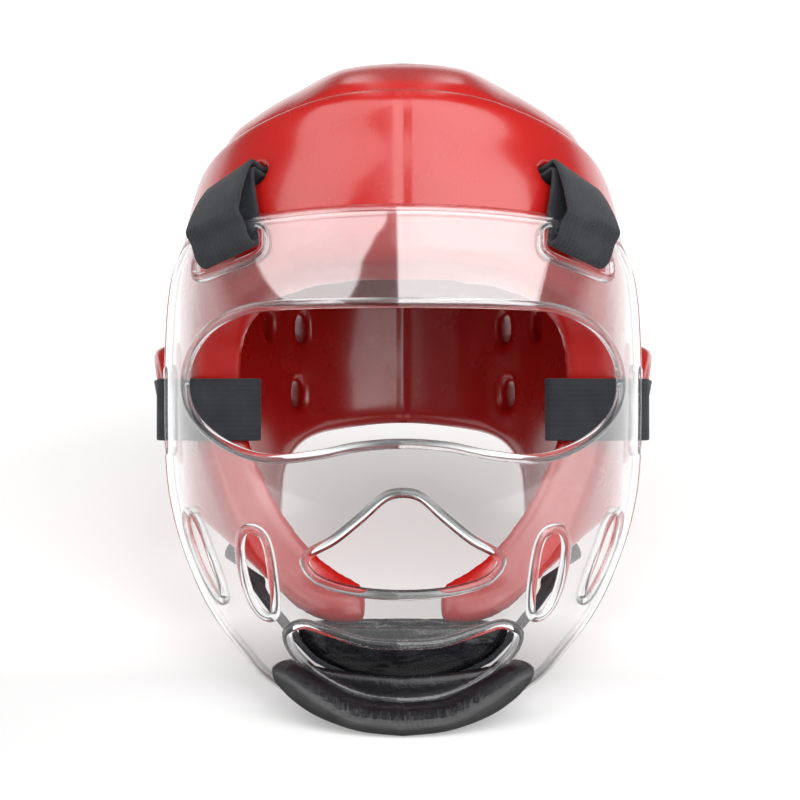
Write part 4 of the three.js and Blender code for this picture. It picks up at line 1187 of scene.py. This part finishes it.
# Stage
def soft_world():
    """Dim above and ahead of the face, bright near the horizon elsewhere, and white where it shows itself.
    Two bright strips high up behind are for reflections alone."""
    n = Nodes(bpy.data.worlds.new("soft_light"), "ShaderNodeOutputWorld")
    way = n.add("ShaderNodeTexCoord").outputs["Generated"]
    split = n.add("ShaderNodeSeparateXYZ", {"Vector": way})
    level = n.spread(split.outputs["Z"], 0.06, 0.2, 1, 0)
    ahead = n.add("ShaderNodeVectorMath", {0: way, 1: (0, -1, 0)}, operation="DOT_PRODUCT").outputs["Value"]
    soft = n.math("MULTIPLY_ADD", n.math("MULTIPLY", level, n.spread(ahead, 0.2, 0.75, 1, 0)), 0.85, 0.14)
    aside = n.math("ABSOLUTE", split.outputs["X"])
    strips = n.math("MULTIPLY", n.spread(aside, 0.03, 0.1, 0, 1), n.spread(aside, 0.12, 0.22, 1, 0))
    strips = n.math("MULTIPLY", strips, n.spread(split.outputs["Y"], 0.04, 0.14, 0, 1.5))
    strips = n.math("MULTIPLY", strips, n.spread(split.outputs["Z"], 0.26, 0.4, 0, 1))
    rays = n.add("ShaderNodeLightPath").outputs
    mirrored = n.math("MULTIPLY", strips, rays["Is Glossy Ray"])
    strength = n.math("MAXIMUM", n.math("MAXIMUM", soft, mirrored), rays["Is Camera Ray"])
    return n.show(n.add("ShaderNodeBackground", {"Color": (1, 1, 1, 1), "Strength": strength}).outputs[0])


def softbox(name, middle, across, up, size, brightness):
    """A flat panel of light. It shines away from the cross product of its two directions."""
    data = bpy.data.lights.new(name, "AREA")
    data.shape = "RECTANGLE"
    data.size, data.size_y = size
    data.energy = brightness * pi * size[0] * size[1]
    made = bpy.data.objects.new(name, data)
    bpy.context.scene.collection.objects.link(made)
    across, up = Vector(across).normalized(), Vector(up).normalized()
    turned = Matrix((across, up, across.cross(up))).transposed()
    made.matrix_world = Matrix.Translation(middle) @ turned.to_4x4()


def stage():
    scene = bpy.context.scene
    corners = [(x * FLOOR_REACH, y * FLOOR_REACH, 0) for x, y in ((-1, -1), (1, -1), (1, 1), (-1, 1))]
    floor = mesh_object("pale_floor", corners, [(0, 1, 2, 3)], False)
    floor.data.materials.append(floor_material())
    scene.world = soft_world()
    softbox("right_softbox", (0.83, -0.75, 0.95), (1, 0, 0), (0, 1, 1), (1.73, 1.4), 3.2)
    across, up = (0.857, -0.364, -0.364), (0.515, 0.606, 0.606)
    softbox("left_softbox", (-0.85, -0.51, 1.19), across, up, (1.3, 1.3), 2.4)
    camera_data = bpy.data.cameras.new("camera")
    camera_data.lens = LENS
    camera_data.sensor_width = SENSOR_WIDTH
    camera_data.shift_x = FRAME_SHIFT
    camera_data.clip_start = 0.05
    camera = bpy.data.objects.new("camera", camera_data)
    scene.collection.objects.link(camera)
    camera.location = place([0, -CAMERA_DISTANCE, 0])
    camera.rotation_euler = (pi / 2 - TILT, 0, 0)
    scene.camera = camera
    scene.view_settings.view_transform = "Standard"


stage()
foam_panels()
crown_panel()
ear_guards()
face_shield()
top_straps()
side_straps()
chin_strap()
chin_cup()
chin_guard()
